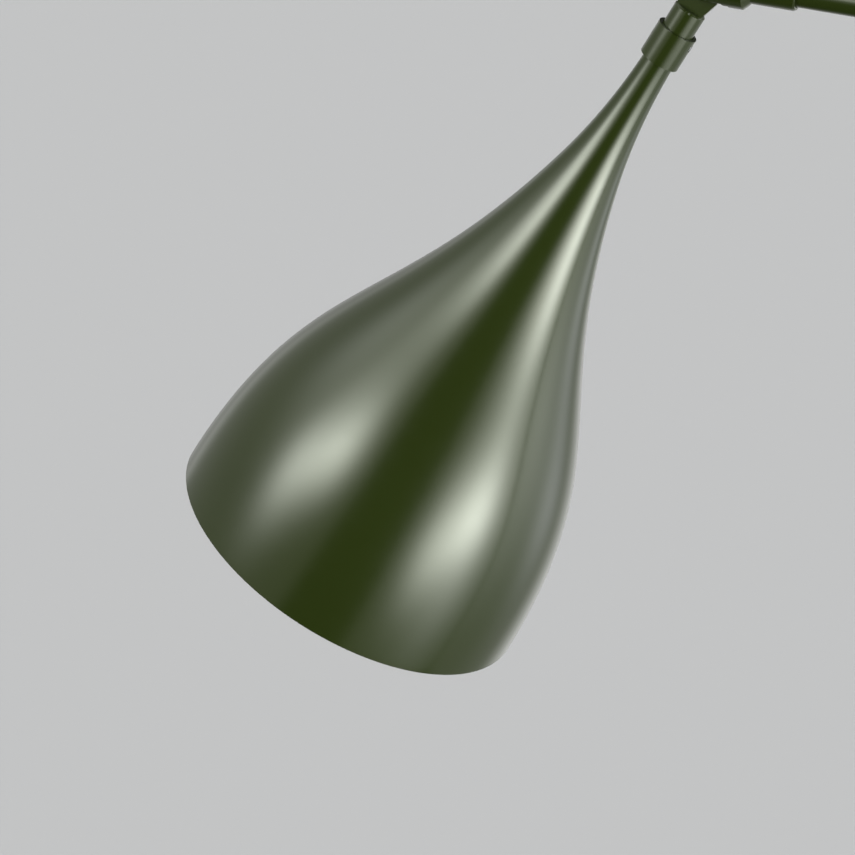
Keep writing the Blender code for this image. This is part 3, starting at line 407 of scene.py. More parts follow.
def cut(piece, tool, operation="DIFFERENCE"):
    """Cut a piece with a tool, or join them, and throw the tool away."""
    worked(piece, "BOOLEAN", object=tool, operation=operation, solver="EXACT")
    bpy.data.meshes.remove(tool.data)
    return piece


ALONG_X = (0, 90, 0)
ALONG_Y = (-90, 0, 0)


def rod(low, high, radius, steps=48, at=(0, 0, 0), turn=(0, 0, 0)):
    """A plain rod, as a drill or a reamer."""
    return placed(turned("rod", [(0, high), (radius, high), (radius, low), (0, low)], steps),
                  at=at, turn=turn)


def nut_blank(name, flats, low, high, bore, bore_low, bore_high):
    """A hexagon nut with its corners turned off at both ends, and its hole."""
    corner = flats / math.sqrt(3)
    chamfer = 0.6 * (corner - flats / 2) + 0.2
    piece = rod(low, high, corner, 6)
    piece.name = piece.data.name = name
    barrel = turned("barrel", [(0, high), (flats / 2, high), (corner + 0.01, high - chamfer),
                               (corner + 0.01, low + chamfer), (flats / 2, low), (0, low)], 60)
    cut(piece, barrel, "INTERSECT")
    cut(piece, rod(bore_low, bore_high, bore))
    return piece


iron = frame["nodes"]["base_weight"]
iron.data.materials.clear()
iron.data.materials.append(cast_iron())

nipple = turned("base_nipple_piece", [(3.5, 48.8), (4.7, 48.8), (5, 48.5), (5, 10.5),
                                      (4.7, 10.2), (3.5, 10.2)], 48)
fitted(softened(nipple, 0.1), zinc_steel, "stand", "zinc_steel", "base_nipple")
washer = turned("base_washer_piece", [(5.3, 16.5), (13, 16.5), (13, 15), (5.3, 15)])
fitted(softened(washer, 0.2), zinc_steel, "stand", "zinc_steel", "base_washer")
nut = nut_blank("base_nut_piece", 16, 10.7, 14.7, 5.3, 9, 16)
fitted(softened(nut, 0.12), zinc_steel, "stand", "zinc_steel", "base_nut")

# ---------------------------------------------------------------- base cover
# Spun steel over the iron weight, with a rounded edge and a skirt that stops just above the
# floor. It is sprayed in the same satin olive green as the stem, the arm and the shade.

OLIVE = (0.0125, 0.0190, 0.0028)
OLIVE_DEEP = (0.0110, 0.0169, 0.0024)
OLIVE_SHEEN = (0.95, 1.0, 0.75, 1)
OLIVE_DULLNESS = 0.15
OLIVE_DRIFT = 0.05             # how far the dullness drifts across a piece
PEEL_WAVES = 420               # waves of orange peel per metre
PEEL_DEPTH = 0.010


def olive_paint(holder=UPRIGHT):
    """Satin olive green paint with the faint orange peel of spraying."""
    made = Finish("olive_paint", holder, Specular_Tint=OLIVE_SHEEN, IOR=1.5)
    made.tint(OLIVE, OLIVE_DEEP, made.noise(18, 2))
    made.feed("Roughness", OLIVE_DULLNESS + made.noise(140, 3) * OLIVE_DRIFT)
    made.grain(made.noise(PEEL_WAVES, 2), PEEL_DEPTH, 0.6)
    return made.material


def arc(middle, radius, start, end, count):
    """Points on an arc, angles in degrees from the first axis to the second."""
    angles = [math.radians(start + (end - start) * i / count) for i in range(count + 1)]
    return [(middle[0] + radius * math.cos(a), middle[1] + radius * math.sin(a)) for a in angles]


edge_middle = (124, 16.8)
cover = turned("base_cover_piece",
               [(5.3, 22.8), (40, 22.8), (80, 22.8)] + arc(edge_middle, 6, 90, 0, 14)
               + [(130, 1.5), (128.8, 1.5)] + arc(edge_middle, 4.8, 0, 90, 8)
               + [(5.3, 21.6)], 192)
cut(cover, rod(20, 24, 13.1, 64, at=(-80, 0, 0)))
cut(cover, rod(118, 133, 5.0, 48, at=(0, 0, 9.3), turn=ALONG_X))
fitted(softened(cover, 0.25), olive_paint, "stand", "olive_paint", "base_cover")

# ---------------------------------------------------------------- cord gland
# A black rubber gland snapped into the back of the cover, with a lip on each side of the
# sheet and a rounded outer collar where the mains lead would leave.

gland = turned("cord_gland_piece",
               [(3.5, 134.3), (3.9, 134.3), (5.0, 134.3), (5.6, 133.9), (5.8, 133.2),
                (5.8, 132.6), (5.3, 132.2), (5.8, 131.8), (5.8, 130.3), (4.7, 130.3),
                (4.7, 128.36), (5.8, 128.36), (5.8, 126.36), (3.5, 126.36)], 64)
softened(gland, 0.12)
placed(gland, at=(0, 0, 9.3), turn=ALONG_X)
fitted(gland, rubber, "stand", "rubber", "cord_gland")

# ---------------------------------------------------------------- foot switch
# A push switch let into the base: a turned steel bezel, a black button with grip rings that
# springs up four millimetres proud of it, and the housing and coil spring below.

SWITCH = Matrix.Translation((-0.080, 0, 0))


def black_plastic(holder=UPRIGHT):
    """Black moulded plastic with a fine spark-eroded texture."""
    made = Finish("black_plastic", holder, IOR=1.49)
    cloud = made.noise(120, 3)
    made.tint((0.014, 0.014, 0.015), (0.024, 0.024, 0.025), cloud)
    made.feed("Roughness", 0.40 + cloud * 0.12)
    made.grain(made.noise(3500, 2), 0.012, 0.6)
    return made.material


bezel = turned("foot_switch_bezel_piece",
               [(11.3, 25.3), (14.4, 25.3), (15.1, 24.9), (15.5, 24.1), (15.5, 23.1),
                (12.8, 23.1), (12.8, 15.6), (11, 15.6), (11, 24.9)])
placed(softened(bezel, 0.12), SWITCH)
fitted(bezel, zinc_steel, "stand", "zinc_steel", "foot_switch_bezel", holder=SWITCH)

housing = turned("foot_switch_body_piece",
                 [(0, 9.3), (4.5, 9.3), (4.5, 15.3), (13.1, 15.3), (13.1, 21.3), (15, 21.3),
                  (15, 8.3), (0, 8.3)])
placed(softened(housing, 0.2), SWITCH)
fitted(housing, black_plastic, "stand", "black_plastic", "foot_switch_body", holder=SWITCH)

dome = [(0, 29.3)]
for radius in (2.6, 4.6, 6.6, 8.6):
    crest = 29.3 - 0.9 * (radius / 9.5) ** 2
    dome += [(radius - 0.5, crest), (radius - 0.2, crest - 0.32), (radius + 0.2, crest - 0.34),
             (radius + 0.5, crest - 0.06)]
button = turned("foot_button_piece",
                dome + [(9.5, 28.4), (10.0, 28.1), (10.35, 27.7), (10.5, 27.2), (10.5, 18.8),
                        (7.9, 18.8), (7.9, 25.8), (4.2, 25.8), (4.2, 12.8), (0, 12.8)])
placed(softened(button, 0.1), SWITCH)
fitted(button, black_plastic, "foot_button", "black_plastic", "foot_button", holder=SWITCH)


def coil(name, radius, thickness, low, high, turns):
    """A coil spring of round wire with closed ends."""
    bpy.ops.object.select_all(action="DESELECT")
    bpy.ops.mesh.primitive_circle_add(vertices=12, radius=thickness * MM,
                                      location=(radius * MM, 0, low * MM),
                                      rotation=(math.radians(90), 0, 0))
    piece = bpy.context.object
    piece.name = piece.data.name = name
    bpy.ops.object.transform_apply(location=True, rotation=True, scale=True)
    worked(piece, "SCREW", axis="Z", angle=2 * math.pi, iterations=turns, steps=36,
           render_steps=36, screw_offset=(high - low) / turns * MM, use_smooth_shade=True)
    bpy.ops.object.mode_set(mode="EDIT")
    bpy.ops.mesh.select_all(action="SELECT")
    bpy.ops.mesh.fill_holes(sides=0)
    closed()
    bpy.ops.object.shade_smooth_by_angle(angle=math.radians(40))
    return piece


spring = placed(coil("foot_switch_spring_piece", 6.4, 0.5, 16.1, 25.0, 4), SWITCH)
fitted(spring, zinc_steel, "stand", "zinc_steel", "foot_switch_spring", holder=SWITCH)
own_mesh(spring)

# ---------------------------------------------------------------- stem
# Two drawn steel tubes, 18 mm across, screwed together over a turned steel joiner whose rim
# shows as a bright line. A flared collar covers the joint with the base; the lead runs inside.

PLASTIC_LEAD = (0.62, 0.62, 0.60)


def lead_sheath(holder=UPRIGHT):
    """Pale grey plastic sheath, slightly soiled."""
    made = Finish("lead_sheath", holder)
    made.tint(PLASTIC_LEAD, (0.52, 0.52, 0.49), made.noise(80, 3))
    made.feed("Roughness", 0.42 + made.noise(300, 2) * 0.14)
    made.grain(made.noise(1600, 2), 0.01, 0.5)
    return made.material


def tube(name, low, high, bore, radius, steps=96):
    return turned(name, [(bore, high), (radius, high), (radius, low), (bore, low)], steps)


collar = turned("stem_collar_piece",
                [(9.3, 32.1), (11, 32.1)] + arc((16, 32.1), 5, 180, 270, 12)
                + [(16, 23.1), (9.3, 23.1)], 128)
fitted(softened(collar, 0.2), olive_paint, "stand", "olive_paint", "stem_collar")
foot_plug = turned("stem_foot_plug_piece",
                   [(5.3, 53.4), (7.2, 53.4), (7.2, 25.1), (9, 25.1), (9, 23.1), (5.3, 23.1)])
fitted(softened(foot_plug, 0.15), zinc_steel, "stand", "zinc_steel", "stem_foot_plug")
lower_stem = tube("lower_stem_piece", 25.4, 688.7, 7.5, 9)
fitted(softened(lower_stem, 0.2), olive_paint, "stand", "olive_paint", "lower_stem")
joiner = turned("stem_spigot_piece",
                [(5, 718), (7.2, 718), (7.2, 691), (9, 691), (9, 689), (7.2, 689), (7.2, 662),
                 (5, 662)])
fitted(softened(joiner, 0.2), zinc_steel, "stand", "zinc_steel", "stem_spigot")
upper_stem = tube("upper_stem_piece", 691.3, 1330.2, 7.5, 9)
fitted(softened(upper_stem, 0.2), olive_paint, "stand", "olive_paint", "upper_stem")

bpy.ops.object.select_all(action="DESELECT")
bpy.ops.mesh.primitive_circle_add(vertices=20, radius=1.6 * MM, fill_type="NGON",
                                  location=(-0.0725, 0, 0.0052),
                                  rotation=(0, math.radians(90), 0))
stem_lead = bpy.context.object
stem_lead.name = stem_lead.data.name = "stem_wire_piece"
bpy.ops.object.transform_apply(location=True, rotation=True, scale=True)
bpy.ops.object.mode_set(mode="EDIT")
bpy.ops.mesh.extrude_region_move(TRANSFORM_OT_translate={"value": (0.067, 0, 0)})
bpy.ops.mesh.spin(steps=12, angle=math.radians(90), center=(-0.0055, 0, 0.0107),
                  axis=(0, 1, 0))
bpy.ops.mesh.extrude_region_move(TRANSFORM_OT_translate={"value": (0, 0, 1.3423)})
closed()
bpy.ops.object.shade_smooth_by_angle(angle=math.radians(40))
fitted(stem_lead, lead_sheath, "stand", "lead_sheath", "stem_wire")

# ---------------------------------------------------------------- swivel
# A turned steel post is plugged into the top of the stem. A nylon bush runs on it and carries
# the painted fork, kept down by a grub screw in the post's groove.

pivots = {joint["name"]: joint.get("pos_m") for joint in frame["joints"]}
SWIVEL = Matrix.Translation(pivots["arm_swivel"])


def white_nylon(holder=UPRIGHT):
    """Natural nylon, slightly yellow, with a turned surface."""
    made = Finish("white_nylon", holder, Subsurface_Weight=0.1)
    made.tint((0.76, 0.74, 0.68), (0.68, 0.66, 0.60), made.noise(250, 3))
    made.feed("Roughness", 0.42 + made.rings(5000, 5000) * 0.15)
    made.grain(made.rings(7000, 7000), 0.008, 0.5)
    return made.material


SLIVER = 0.04 * MM


def plate(name, outline, low, high, turn=(0, 0, 0)):
    """A plate cut to an outline of (x, z) points, from low to high along Y."""
    piece = drawn(name, outline + outline[:1])
    bpy.ops.mesh.remove_doubles(threshold=MERGE)
    bpy.ops.mesh.edge_face_add()
    bpy.ops.transform.translate(value=(0, low * MM, 0))
    step = (0, (high - low) * MM, 0)
    bpy.ops.mesh.extrude_region_move(TRANSFORM_OT_translate={"value": step})
    closed()
    return placed(piece, turn=turn)


def block(low, high):
    """A plain block between two corners, to cut with."""
    outline = [(low[0], low[2]), (high[0], low[2]), (high[0], high[2]), (low[0], high[2])]
    return plate("block", outline, low[1], high[1])


def shouldered(half_width, drop, outer, bottom, head):
    """Ears of a half width above a sloping shoulder; all below it is kept."""
    lower = -drop - (outer - half_width)
    return head + [(-half_width, -drop), (-outer, lower), (-outer, bottom), (outer, bottom),
                   (outer, lower), (half_width, -drop)]


def cleaned(piece):
    """Drop the slivers that cutting leaves, and make each flat one face."""
    bpy.ops.object.select_all(action="DESELECT")
    piece.select_set(True)
    bpy.context.view_layer.objects.active = piece
    bpy.ops.object.mode_set(mode="EDIT")
    bpy.ops.mesh.select_mode(type="VERT")
    bpy.ops.mesh.select_all(action="SELECT")
    bpy.ops.mesh.remove_doubles(threshold=SLIVER)
    bpy.ops.mesh.dissolve_limited(angle_limit=math.radians(0.8))
    bpy.ops.object.mode_set(mode="OBJECT")
    return piece


def fork(name, outline, ear, half, slot, slot_floor, hole, bore):
    """A turned barrel filed to two ears, with a slot, a cross hole and a bore."""
    piece = turned(name, outline, 96)
    outer, bottom, drop = 2 * outline[0][1], outline[-1][1] - 1, slot_floor - 3
    cut(piece, plate("front", shouldered(ear, drop, outer, bottom, arc((0, 0), ear, 0, 180, 48)),
                     -outer, outer), "INTERSECT")
    cut(piece, plate("side", shouldered(half, drop, outer, bottom,
                                        [(half, outer), (-half, outer)]),
                     -outer, outer, (0, 0, 90)), "INTERSECT")
    cut(piece, block((-outer, -slot, -slot_floor), (outer, slot, outer)))
    cut(piece, rod(-outer, outer, hole, turn=ALONG_Y))
    cut(piece, rod(*bore, 64))
    return piece


def grub_screw(name, low, high, along, outward):
    """A short headless screw along X with a hexagon socket in its outer end."""
    piece = turned(name, [(0, high), (1.35, high), (1.5, high - 0.15), (1.5, low + 0.15),
                          (1.35, low), (0, low)], 32)
    face = high if outward > 0 else low
    socket = rod(face - 1.0, face + 1.0, 0.85, 6)
    cut(piece, socket)
    return placed(softened(piece, 0.06), at=(0, 0, along), turn=ALONG_X)


def bolt(name, head, head_low, head_high, shank, end, socket):
    """A bolt along Y with a rounded head at +Y and a hexagon socket in it."""
    piece = turned(name, [(0, head_high), (head - 1.2, head_high), (head - 0.5, head_high - 0.2),
                          (head - 0.12, head_high - 0.6), (head, head_high - 1.2),
                          (head, head_low), (shank, head_low), (shank, end + 0.4),
                          (shank - 0.4, end), (0, end)], 64)
    cut(piece, rod(head_high - 2, head_high + 1, socket, 6))
    return placed(softened(piece, 0.12), turn=ALONG_Y)


post = turned("pivot_post_piece",
              [(3.5, -17.5), (5.2, -17.5), (5.5, -17.8), (5.5, -24.55), (4.5, -24.55),
               (4.5, -28.35), (5.5, -28.35), (5.5, -37.5), (10.5, -37.5), (10.5, -40.5),
               (7.2, -40.5), (7.2, -68.5), (3.5, -68.5)])
placed(softened(post, 0.2), SWIVEL)
fitted(post, zinc_steel, "stand", "zinc_steel", "pivot_post", holder=SWIVEL)

bush = turned("swivel_bush_piece",
              [(5.8, -18), (8.5, -18), (8.5, -35.7), (10.5, -35.7), (10.5, -37.2), (5.8, -37.2)])
cut(bush, rod(3, 16, 1.8, 32, at=(0, 0, -26.45), turn=ALONG_X))
placed(softened(bush, 0.15), SWIVEL)
fitted(bush, white_nylon, "swivel", "white_plastic", "swivel_bush", holder=SWIVEL)

swivel_fork = fork("swivel_fork_piece",
                   [(0, 14), (14, 14), (14, -33.4), (12, -35.4), (0, -35.4)],
                   11, 11.6, 5.6, 12.5, 3.3, (-37, -16.5, 8.8))
cut(swivel_fork, rod(3, 16, 1.8, 32, at=(0, 0, -26.45), turn=ALONG_X))
placed(softened(cleaned(swivel_fork), 0.35), SWIVEL)
fitted(swivel_fork, olive_paint, "swivel", "olive_paint", "swivel_fork")
swivel_screw = placed(grub_screw("swivel_grub_screw_piece", 4.8, 13.7, -26.45, 1), SWIVEL)
fitted(swivel_screw, zinc_steel, "swivel", "zinc_steel", "swivel_grub_screw", holder=SWIVEL)

# ---------------------------------------------------------------- arm joint
# The arm's tongue is clamped between the fork's ears by a steel bolt, with a plastic washer on
# each side. A moulded knob with ten lobes screws on to the bolt's far end and sets the grip.

CROSSWAYS = SWIVEL @ Matrix.Rotation(math.radians(-90), 4, "X")

arm_bolt = placed(bolt("arm_bolt_piece", 5.5, 11.9, 15.9, 3, -21.6, 2.9), SWIVEL)
fitted(arm_bolt, zinc_steel, "swivel", "zinc_steel", "arm_bolt", holder=CROSSWAYS)
for node, low in (("arm_washer_front", -5.3), ("arm_washer_back", 4.3)):
    washer = tube(node + "_piece", low, low + 1, 3.3, 9.5)
    placed(softened(washer, 0.15), CROSSWAYS)
    fitted(washer, black_plastic, "swivel", "black_plastic", node, holder=CROSSWAYS)

lobes = []
for i in range(200):
    angle = 2 * math.pi * i / 200
    radius = 11.3 + 0.7 * math.cos(10 * angle)
    lobes.append((radius * math.cos(angle), radius * math.sin(angle)))
knob = plate("arm_knob_piece", lobes, -24.9, -14.9)
worked(knob, "BEVEL", width=0.7 * MM, segments=4, limit_method="ANGLE",
       angle_limit=math.radians(40))
cut(knob, rod(-26, -24.2, 7.6, 96, turn=ALONG_Y))
cut(knob, rod(-15.9, -11.9, 7, 64, turn=ALONG_Y), "UNION")
cut(knob, rod(-22.9, -11, 3.3, turn=ALONG_Y))
placed(softened(knob, 0.2, 2, 40), SWIVEL)
fitted(knob, black_plastic, "arm_knob", "black_plastic", "arm_knob", holder=CROSSWAYS)

# ---------------------------------------------------------------- arm
# A painted knuckle, a 12 mm drawn tube and a fork at the far end. The tube is pushed into a
# socket at each end and held by a grub screw from below; the lead runs through it.

ARM_TURN = -84.0               # degrees about Y, from straight up to along the arm
ARM = Matrix.Translation(pivots["arm_tilt"]) @ Matrix.Rotation(math.radians(ARM_TURN), 4, "Y")
ELBOW = Matrix.Translation(pivots["shade_tilt"]) @ Matrix.Rotation(math.radians(ARM_TURN), 4, "Y")


def knuckle(name, ear, half_tongue, shoulder, barrel, end, hole, bore):
    """A barrel with a round-ended tongue, a cross hole and a bore."""
    root = 0.85 * barrel
    piece = turned(name, [(0, end), (barrel - 0.8, end), (barrel, end - 0.8),
                          (barrel, shoulder + 0.8), (barrel - 0.8, shoulder), (0, shoulder)])
    sides = [(ear, 0.45 * shoulder), (root, shoulder), (root, shoulder + 3),
             (-root, shoulder + 3), (-root, shoulder), (-ear, 0.45 * shoulder)]
    cut(piece, plate("tongue", arc((0, 0), ear, 180, 360, 48) + sides, -half_tongue,
                     half_tongue), "UNION")
    cut(piece, rod(-2 * ear, 2 * ear, hole, turn=ALONG_Y))
    cut(piece, rod(*bore, 64))
    return piece


arm_knuckle = knuckle("arm_knuckle_piece", 11, 4, 20, 8.5, 46, 3.3, (23, 47, 6.3))
cut(arm_knuckle, rod(-10.5, -5, 1.8, 32, at=(0, 0, 38), turn=ALONG_X))
placed(softened(cleaned(arm_knuckle), 0.35), ARM)
fitted(arm_knuckle, olive_paint, "arm", "olive_paint", "arm_knuckle")
knuckle_screw = placed(grub_screw("arm_knuckle_screw_piece", -8.2, -6.3, 38, -1), ARM)
fitted(knuckle_screw, zinc_steel, "arm", "zinc_steel", "arm_knuckle_screw", holder=ARM)
arm_tube = placed(softened(tube("arm_tube_piece", 23.3, 403.7, 4.8, 6), 0.2), ARM)
fitted(arm_tube, olive_paint, "arm", "olive_paint", "arm_tube")
arm_lead = turned("arm_wire_piece", [(0, 403.4), (1.6, 403.4), (1.6, 23.6), (0, 23.6)], 24)
placed(softened(arm_lead, 0.1), ARM)
fitted(arm_lead, lead_sheath, "arm", "lead_sheath", "arm_wire", holder=ARM)

elbow_fork = fork("elbow_fork_piece",
                  [(0, 11), (11, 11), (11, -17), (7.8, -20.2), (7.8, -39), (7.3, -40), (0, -40)],
                  9, 9.4, 4.9, 10.5, 2.8, (-41, -16, 6.3))
cut(elbow_fork, rod(-9.8, -5, 1.8, 32, at=(0, 0, -32), turn=ALONG_X))
placed(softened(cleaned(elbow_fork), 0.3), ELBOW)
fitted(elbow_fork, olive_paint, "arm", "olive_paint", "elbow_fork")
elbow_screw = placed(grub_screw("elbow_fork_screw_piece", -7.5, -6.3, -32, -1), ELBOW)
fitted(elbow_screw, zinc_steel, "arm", "zinc_steel", "elbow_fork_screw", holder=ELBOW)

# ---------------------------------------------------------------- elbow
# The shade head hangs between the fork's ears on a smaller bolt with a nut, stiffened by two
# plastic washers so that it stays where it is put.

ELBOW_CROSSWAYS = ELBOW @ Matrix.Rotation(math.radians(-90), 4, "X")
elbow_bolt = placed(bolt("elbow_bolt_piece", 4.5, 9.7, 12.7, 2.5, -13.7, 2.3), ELBOW)
fitted(elbow_bolt, zinc_steel, "arm", "zinc_steel", "elbow_bolt", holder=ELBOW_CROSSWAYS)
elbow_nut = nut_blank("elbow_nut_piece", 8, -15.7, -9.7, 2.8, -14, 0)
placed(softened(cleaned(elbow_nut), 0.12), ELBOW_CROSSWAYS)
fitted(elbow_nut, zinc_steel, "arm", "zinc_steel", "elbow_nut", holder=ELBOW_CROSSWAYS)
for node, low in (("elbow_washer_front", -4.6), ("elbow_washer_back", 3.8)):
    washer = tube(node + "_piece", low, low + 0.8, 2.8, 7.5)
    placed(softened(washer, 0.12), ELBOW_CROSSWAYS)
    fitted(washer, black_plastic, "arm", "black_plastic", node, holder=ELBOW_CROSSWAYS)

# ---------------------------------------------------------------- neck
# A knuckle screwed on to the hollow tube that carries the lampholder. The shade's neck sits
# against it, centred by a brass spacer, and a painted ferrule slides down over the joint.

SHADE_LEAN = -149.2            # degrees about Y, from straight up to down the shade's axis
HEAD = Matrix.Translation(pivots["shade_tilt"]) @ Matrix.Rotation(math.radians(SHADE_LEAN), 4, "Y")


def brass(holder=UPRIGHT):
    """Bright turned brass, a little browned."""
    made = Finish("brass", holder, Metallic=1.0)
    made.tint((0.72, 0.50, 0.20), (0.55, 0.36, 0.13), made.noise(260, 4))
    made.feed("Roughness", 0.22 + made.rings(8000, 8000) * 0.2)
    made.grain(made.rings(8000, 8000), 0.006, 0.5)
    return made.material


neck_knuckle = knuckle("neck_knuckle_piece", 9, 3.5, 16, 7.5, 36, 2.8, (21, 37, 5.3))
placed(softened(cleaned(neck_knuckle), 0.3), HEAD)
fitted(neck_knuckle, olive_paint, "shade_head", "olive_paint", "neck_knuckle")
ferrule = tube("neck_ferrule_piece", 27.3, 43.3, 7.8, 9.4, 128)
cut(ferrule, rod(-11.4, -6.5, 1.8, 32, at=(0, 0, 31.3), turn=ALONG_X))
placed(softened(ferrule, 0.4, 3), HEAD)
fitted(ferrule, olive_paint, "shade_head", "olive_paint", "neck_ferrule")
neck_screw = placed(grub_screw("neck_screw_piece", -9.1, -7.8, 31.3, -1), HEAD)
fitted(neck_screw, zinc_steel, "shade_head", "zinc_steel", "neck_screw", holder=HEAD)
spacer = placed(softened(tube("neck_spacer_piece", 37.4, 57.4, 5.3, 6.1), 0.1), HEAD)
fitted(spacer, brass, "shade_head", "brass", "neck_spacer", holder=HEAD)

# ---------------------------------------------------------------- shade
# One piece of spun steel: a wide bell that runs without a seam into a long thin neck. It is
# sprayed olive green outside and enamelled white inside, with a plain cut rim.

THROAT = 103.0                 # millimetres from the elbow to where the bell becomes the neck
RIM = 333.0
SHADE_WALL = 0.8
RIM_RADIUS, THROAT_RADIUS, NECK_RADIUS = 90, 14.8, 7.2
RIM_LEAN, THROAT_LEAN = 1.7, 13.7              # degrees from the shade's axis
RIM_PULL, BELL_PULL, NECK_PULL = 109.6, 120, 22  # how far each end draws the curve along
NECK_TOP, NECK_STRAIGHT = 36.3, 58.3
ENAMEL = (0.80, 0.79, 0.75)
ENAMEL_AGED = (0.74, 0.73, 0.69)
ENAMEL_DULLER = 0.20


def bezier(a, b, c, d, count):
    """Points on a cubic curve from a to d with the handles b and c."""
    points = []
    for i in range(count + 1):
        t = i / count
        weights = ((1 - t) ** 3, 3 * t * (1 - t) ** 2, 3 * t * t * (1 - t), t ** 3)
        points.append(tuple(sum(w * p[k] for w, p in zip(weights, (a, b, c, d)))
                            for k in (0, 1)))
    return points


def shade_wall(inset, top):
    """The shade's wall from the rim up to the top of its neck, moved in by inset."""
    rim_lean, throat_lean = math.radians(RIM_LEAN), math.radians(THROAT_LEAN)
    at_rim, at_throat = (RIM_RADIUS - inset, RIM), (THROAT_RADIUS - inset, THROAT)
    neck_radius = NECK_RADIUS - inset
    bell = bezier(at_rim, (at_rim[0] - RIM_PULL * math.sin(rim_lean),
                           RIM - RIM_PULL * math.cos(rim_lean)),
                  (at_throat[0] + BELL_PULL * math.sin(throat_lean),
                   THROAT + BELL_PULL * math.cos(throat_lean)), at_throat, 96)
    neck = bezier(at_throat, (at_throat[0] - NECK_PULL * math.sin(throat_lean),
                              THROAT - NECK_PULL * math.cos(throat_lean)),
                  (neck_radius, NECK_STRAIGHT), (neck_radius, NECK_TOP), 32)
    return bell + neck[1:-1] + [(neck_radius, top)]


def shade_paint(holder=UPRIGHT):
    """Olive paint outside and white enamel inside, told apart by an attribute of the mesh."""
    made = Finish("shade_paint", holder, Specular_Tint=OLIVE_SHEEN, IOR=1.5)
    inside = made.node("Attribute", {"attribute_name": "inside"}, output="Fac")
    green = made.node("Mix", {"data_type": "RGBA"},
                      {0: made.noise(18, 2), 6: (*OLIVE, 1), 7: (*OLIVE_DEEP, 1)}, 2)
    white = made.node("Mix", {"data_type": "RGBA"},
                      {0: made.noise(25, 3), 6: (*ENAMEL, 1), 7: (*ENAMEL_AGED, 1)}, 2)
    made.feed("Base Color", made.node("Mix", {"data_type": "RGBA"},
                                      {0: inside, 6: green, 7: white}, 2))
    made.feed("Roughness", OLIVE_DULLNESS + made.noise(140, 3) * OLIVE_DRIFT
              + inside * ENAMEL_DULLER)
    made.grain(made.noise(PEEL_WAVES, 2), PEEL_DEPTH, 0.6)
    return made.material


collar_low = NECK_TOP + SHADE_WALL
outside = shade_wall(0, NECK_TOP)
inside = shade_wall(SHADE_WALL, collar_low)
shade = turned("shade_piece", outside + [(5.3, NECK_TOP), (5.3, collar_low)] + inside[::-1], 192)
softened(shade, 0.2)
mark = shade.data.attributes.new("inside", "FLOAT", "FACE")
for face in shade.data.polygons:
    away = Vector((face.center.x, face.center.y, 0))
    inward = away.length > 0 and face.normal.dot(away.normalized()) < -0.05
    mark.data[face.index].value = 1.0 if inward else 0.0
placed(shade, HEAD)
fitted(shade, shade_paint, "shade_head", "olive_paint", "shade", holder=HEAD)

# ---------------------------------------------------------------- lampholder
# A black plastic holder with a domed cap, screwed on to the end of the hollow tube and locked
# by a thin nut. The brass screw shell and the centre contact sit inside its body.


def grooved(radius, high, low, count, depth):
    """Points down a wall with even round grooves in it, as a screw thread is drawn."""
    points = []
    for i in range(8 * count + 1):
        wave = 0.5 - 0.5 * math.cos(2 * math.pi * i / 8)
        points.append((radius - depth * wave, high + (low - high) * i / (8 * count)))
    return points


carrier = turned("carrier_tube_piece",
                 [(3.5, 136.9), (4.8, 136.9)] + grooved(5, 136.4, 118.4, 18, 0.25)
                 + grooved(5, 36, 22, 14, 0.25) + [(4.8, 21.3), (3.5, 21.3)], 48)
placed(softened(carrier, 0.05), HEAD)
fitted(carrier, zinc_steel, "shade_head", "zinc_steel", "carrier_tube", holder=HEAD)
lock_nut = nut_blank("lampholder_nut_piece", 14, 127.3, 130.8, 5.3, 126, 132)
placed(softened(lock_nut, 0.12), HEAD)
fitted(lock_nut, zinc_steel, "shade_head", "zinc_steel", "lampholder_nut", holder=HEAD)

cap = turned("lampholder_cap_piece",
             [(19, 153.1), (19, 151.9), (18.6, 151.6), (18.6, 144.6), (19, 144.3)]
             + bezier((19, 141.1), (19, 136.1), (14, 131.1), (9, 131.1), 16)
             + [(5.3, 131.1), (5.3, 132.9)]
             + bezier((9, 132.9), (13, 132.9), (17.2, 137.1), (17.2, 141.1), 12)
             + [(17.2, 153.1)], 96)
placed(softened(cap, 0.15), HEAD)
fitted(cap, black_plastic, "shade_head", "black_plastic", "lampholder_cap", holder=HEAD)

holder_body = turned("lampholder_body_piece",
                     [(14.6, 191.4), (17, 191.4), (18, 190.4)]
                     + [(18.02, 188.4), (17.6, 188.0), (17.6, 186.8), (18.04, 186.4)]
                     + [(18.06, 184.4), (17.6, 184.0), (17.6, 182.8), (18.08, 182.4)]
                     + [(18.5, 153.4), (0, 153.4), (0, 161.4), (14.6, 161.4)], 96)
placed(softened(holder_body, 0.15), HEAD)
fitted(holder_body, black_plastic, "shade_head", "black_plastic", "lampholder_body", holder=HEAD)

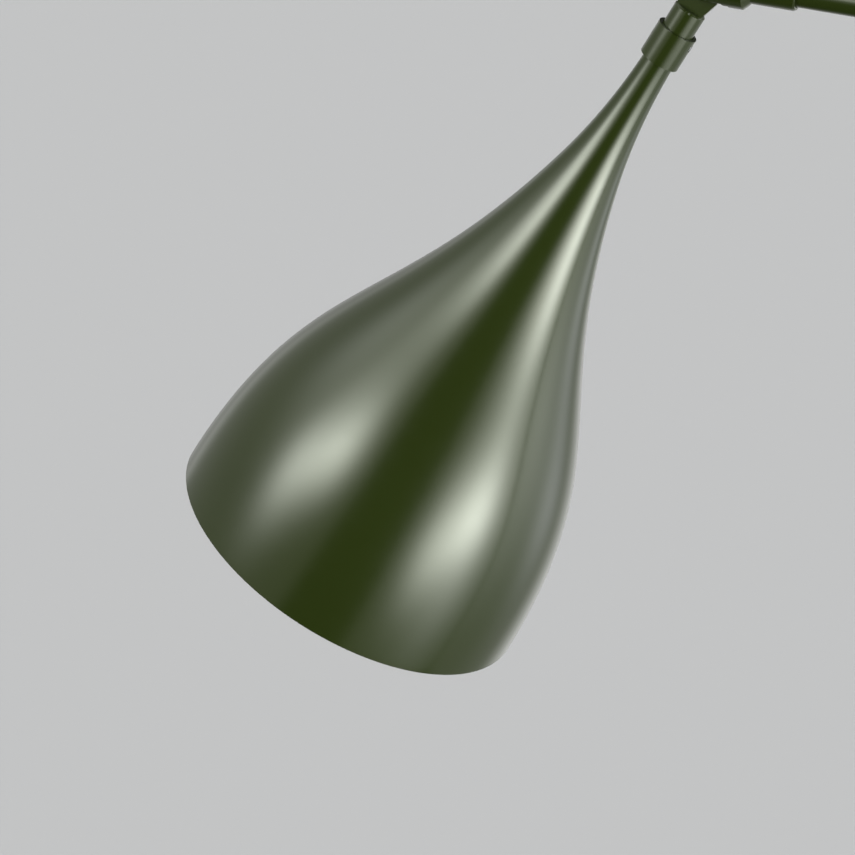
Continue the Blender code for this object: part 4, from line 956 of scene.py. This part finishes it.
shell = turned("lampholder_thread_piece",
               grooved(14.3, 186.2, 167.2, 5, 0.3) + [(13.6, 167.2), (13.6, 186.2)])
placed(softened(shell, 0.05), HEAD)
fitted(shell, brass, "shade_head", "brass", "lampholder_thread", holder=HEAD)
contact = turned("lampholder_contact_piece", [(0, 162.9), (3, 162.9), (4, 162.4), (4, 161.7),
                                              (0, 161.7)], 48)
placed(softened(contact, 0.1), HEAD)
fitted(contact, brass, "shade_head", "brass", "lampholder_contact", holder=HEAD)
neck_lead = turned("neck_wire_piece", [(0, 152.6), (1.6, 152.6), (1.6, 21.6), (0, 21.6)], 24)
placed(softened(neck_lead, 0.1), HEAD)
fitted(neck_lead, lead_sheath, "shade_head", "lead_sheath", "neck_wire", holder=HEAD)

# ---------------------------------------------------------------- bulb
# A standard screw-base bulb: a plated cap with a rolled thread, and a blown opal glass
# envelope cemented into it.


def opal_glass(holder=UPRIGHT):
    """Opal glass, white all through, with a fire-polished surface."""
    made = Finish("opal_glass", holder, Coat_Weight=0.6, Coat_Roughness=0.06)
    made.tint((0.88, 0.88, 0.86), (0.82, 0.82, 0.80), made.noise(40, 2))
    made.feed("Roughness", 0.22 + made.noise(90, 2) * 0.08)
    made.grain(made.noise(60, 2), 0.02, 0.4)
    return made.material


bulb_cap = turned("bulb_cap_piece",
                  [(0, 188.2), (12.9, 188.2), (13.1, 188.0), (13.1, 186.6)]
                  + grooved(13.1, 186.0, 171.6, 4, 0.7)
                  + [(13.1, 168.2), (12.1, 167.2), (6.6, 164.7), (3.2, 164.0), (3, 163.3),
                     (0, 163.2)])
placed(softened(bulb_cap, 0.05), HEAD)
fitted(bulb_cap, zinc_steel, "shade_head", "zinc_steel", "bulb_cap", holder=HEAD)


def envelope(inset):
    """The bulb's glass wall from its tip round to its neck, moved in by inset."""
    globe = 238.5
    flare = bezier((30 - inset, globe), (30 - inset, globe - 20), (13.6 - inset, 210.5),
                   (13.6 - inset, 188.5), 40)
    return arc((0, globe), 30 - inset, 90, 0, 32) + flare[1:]


bulb = turned("bulb_glass_piece", [(0, 268.5)] + envelope(0)[1:] + envelope(1)[::-1][:-1]
              + [(0, 267.5)], 128)
placed(softened(bulb, 0.1), HEAD)
fitted(bulb, opal_glass, "shade_head", "opal_glass", "bulb_glass", holder=HEAD)
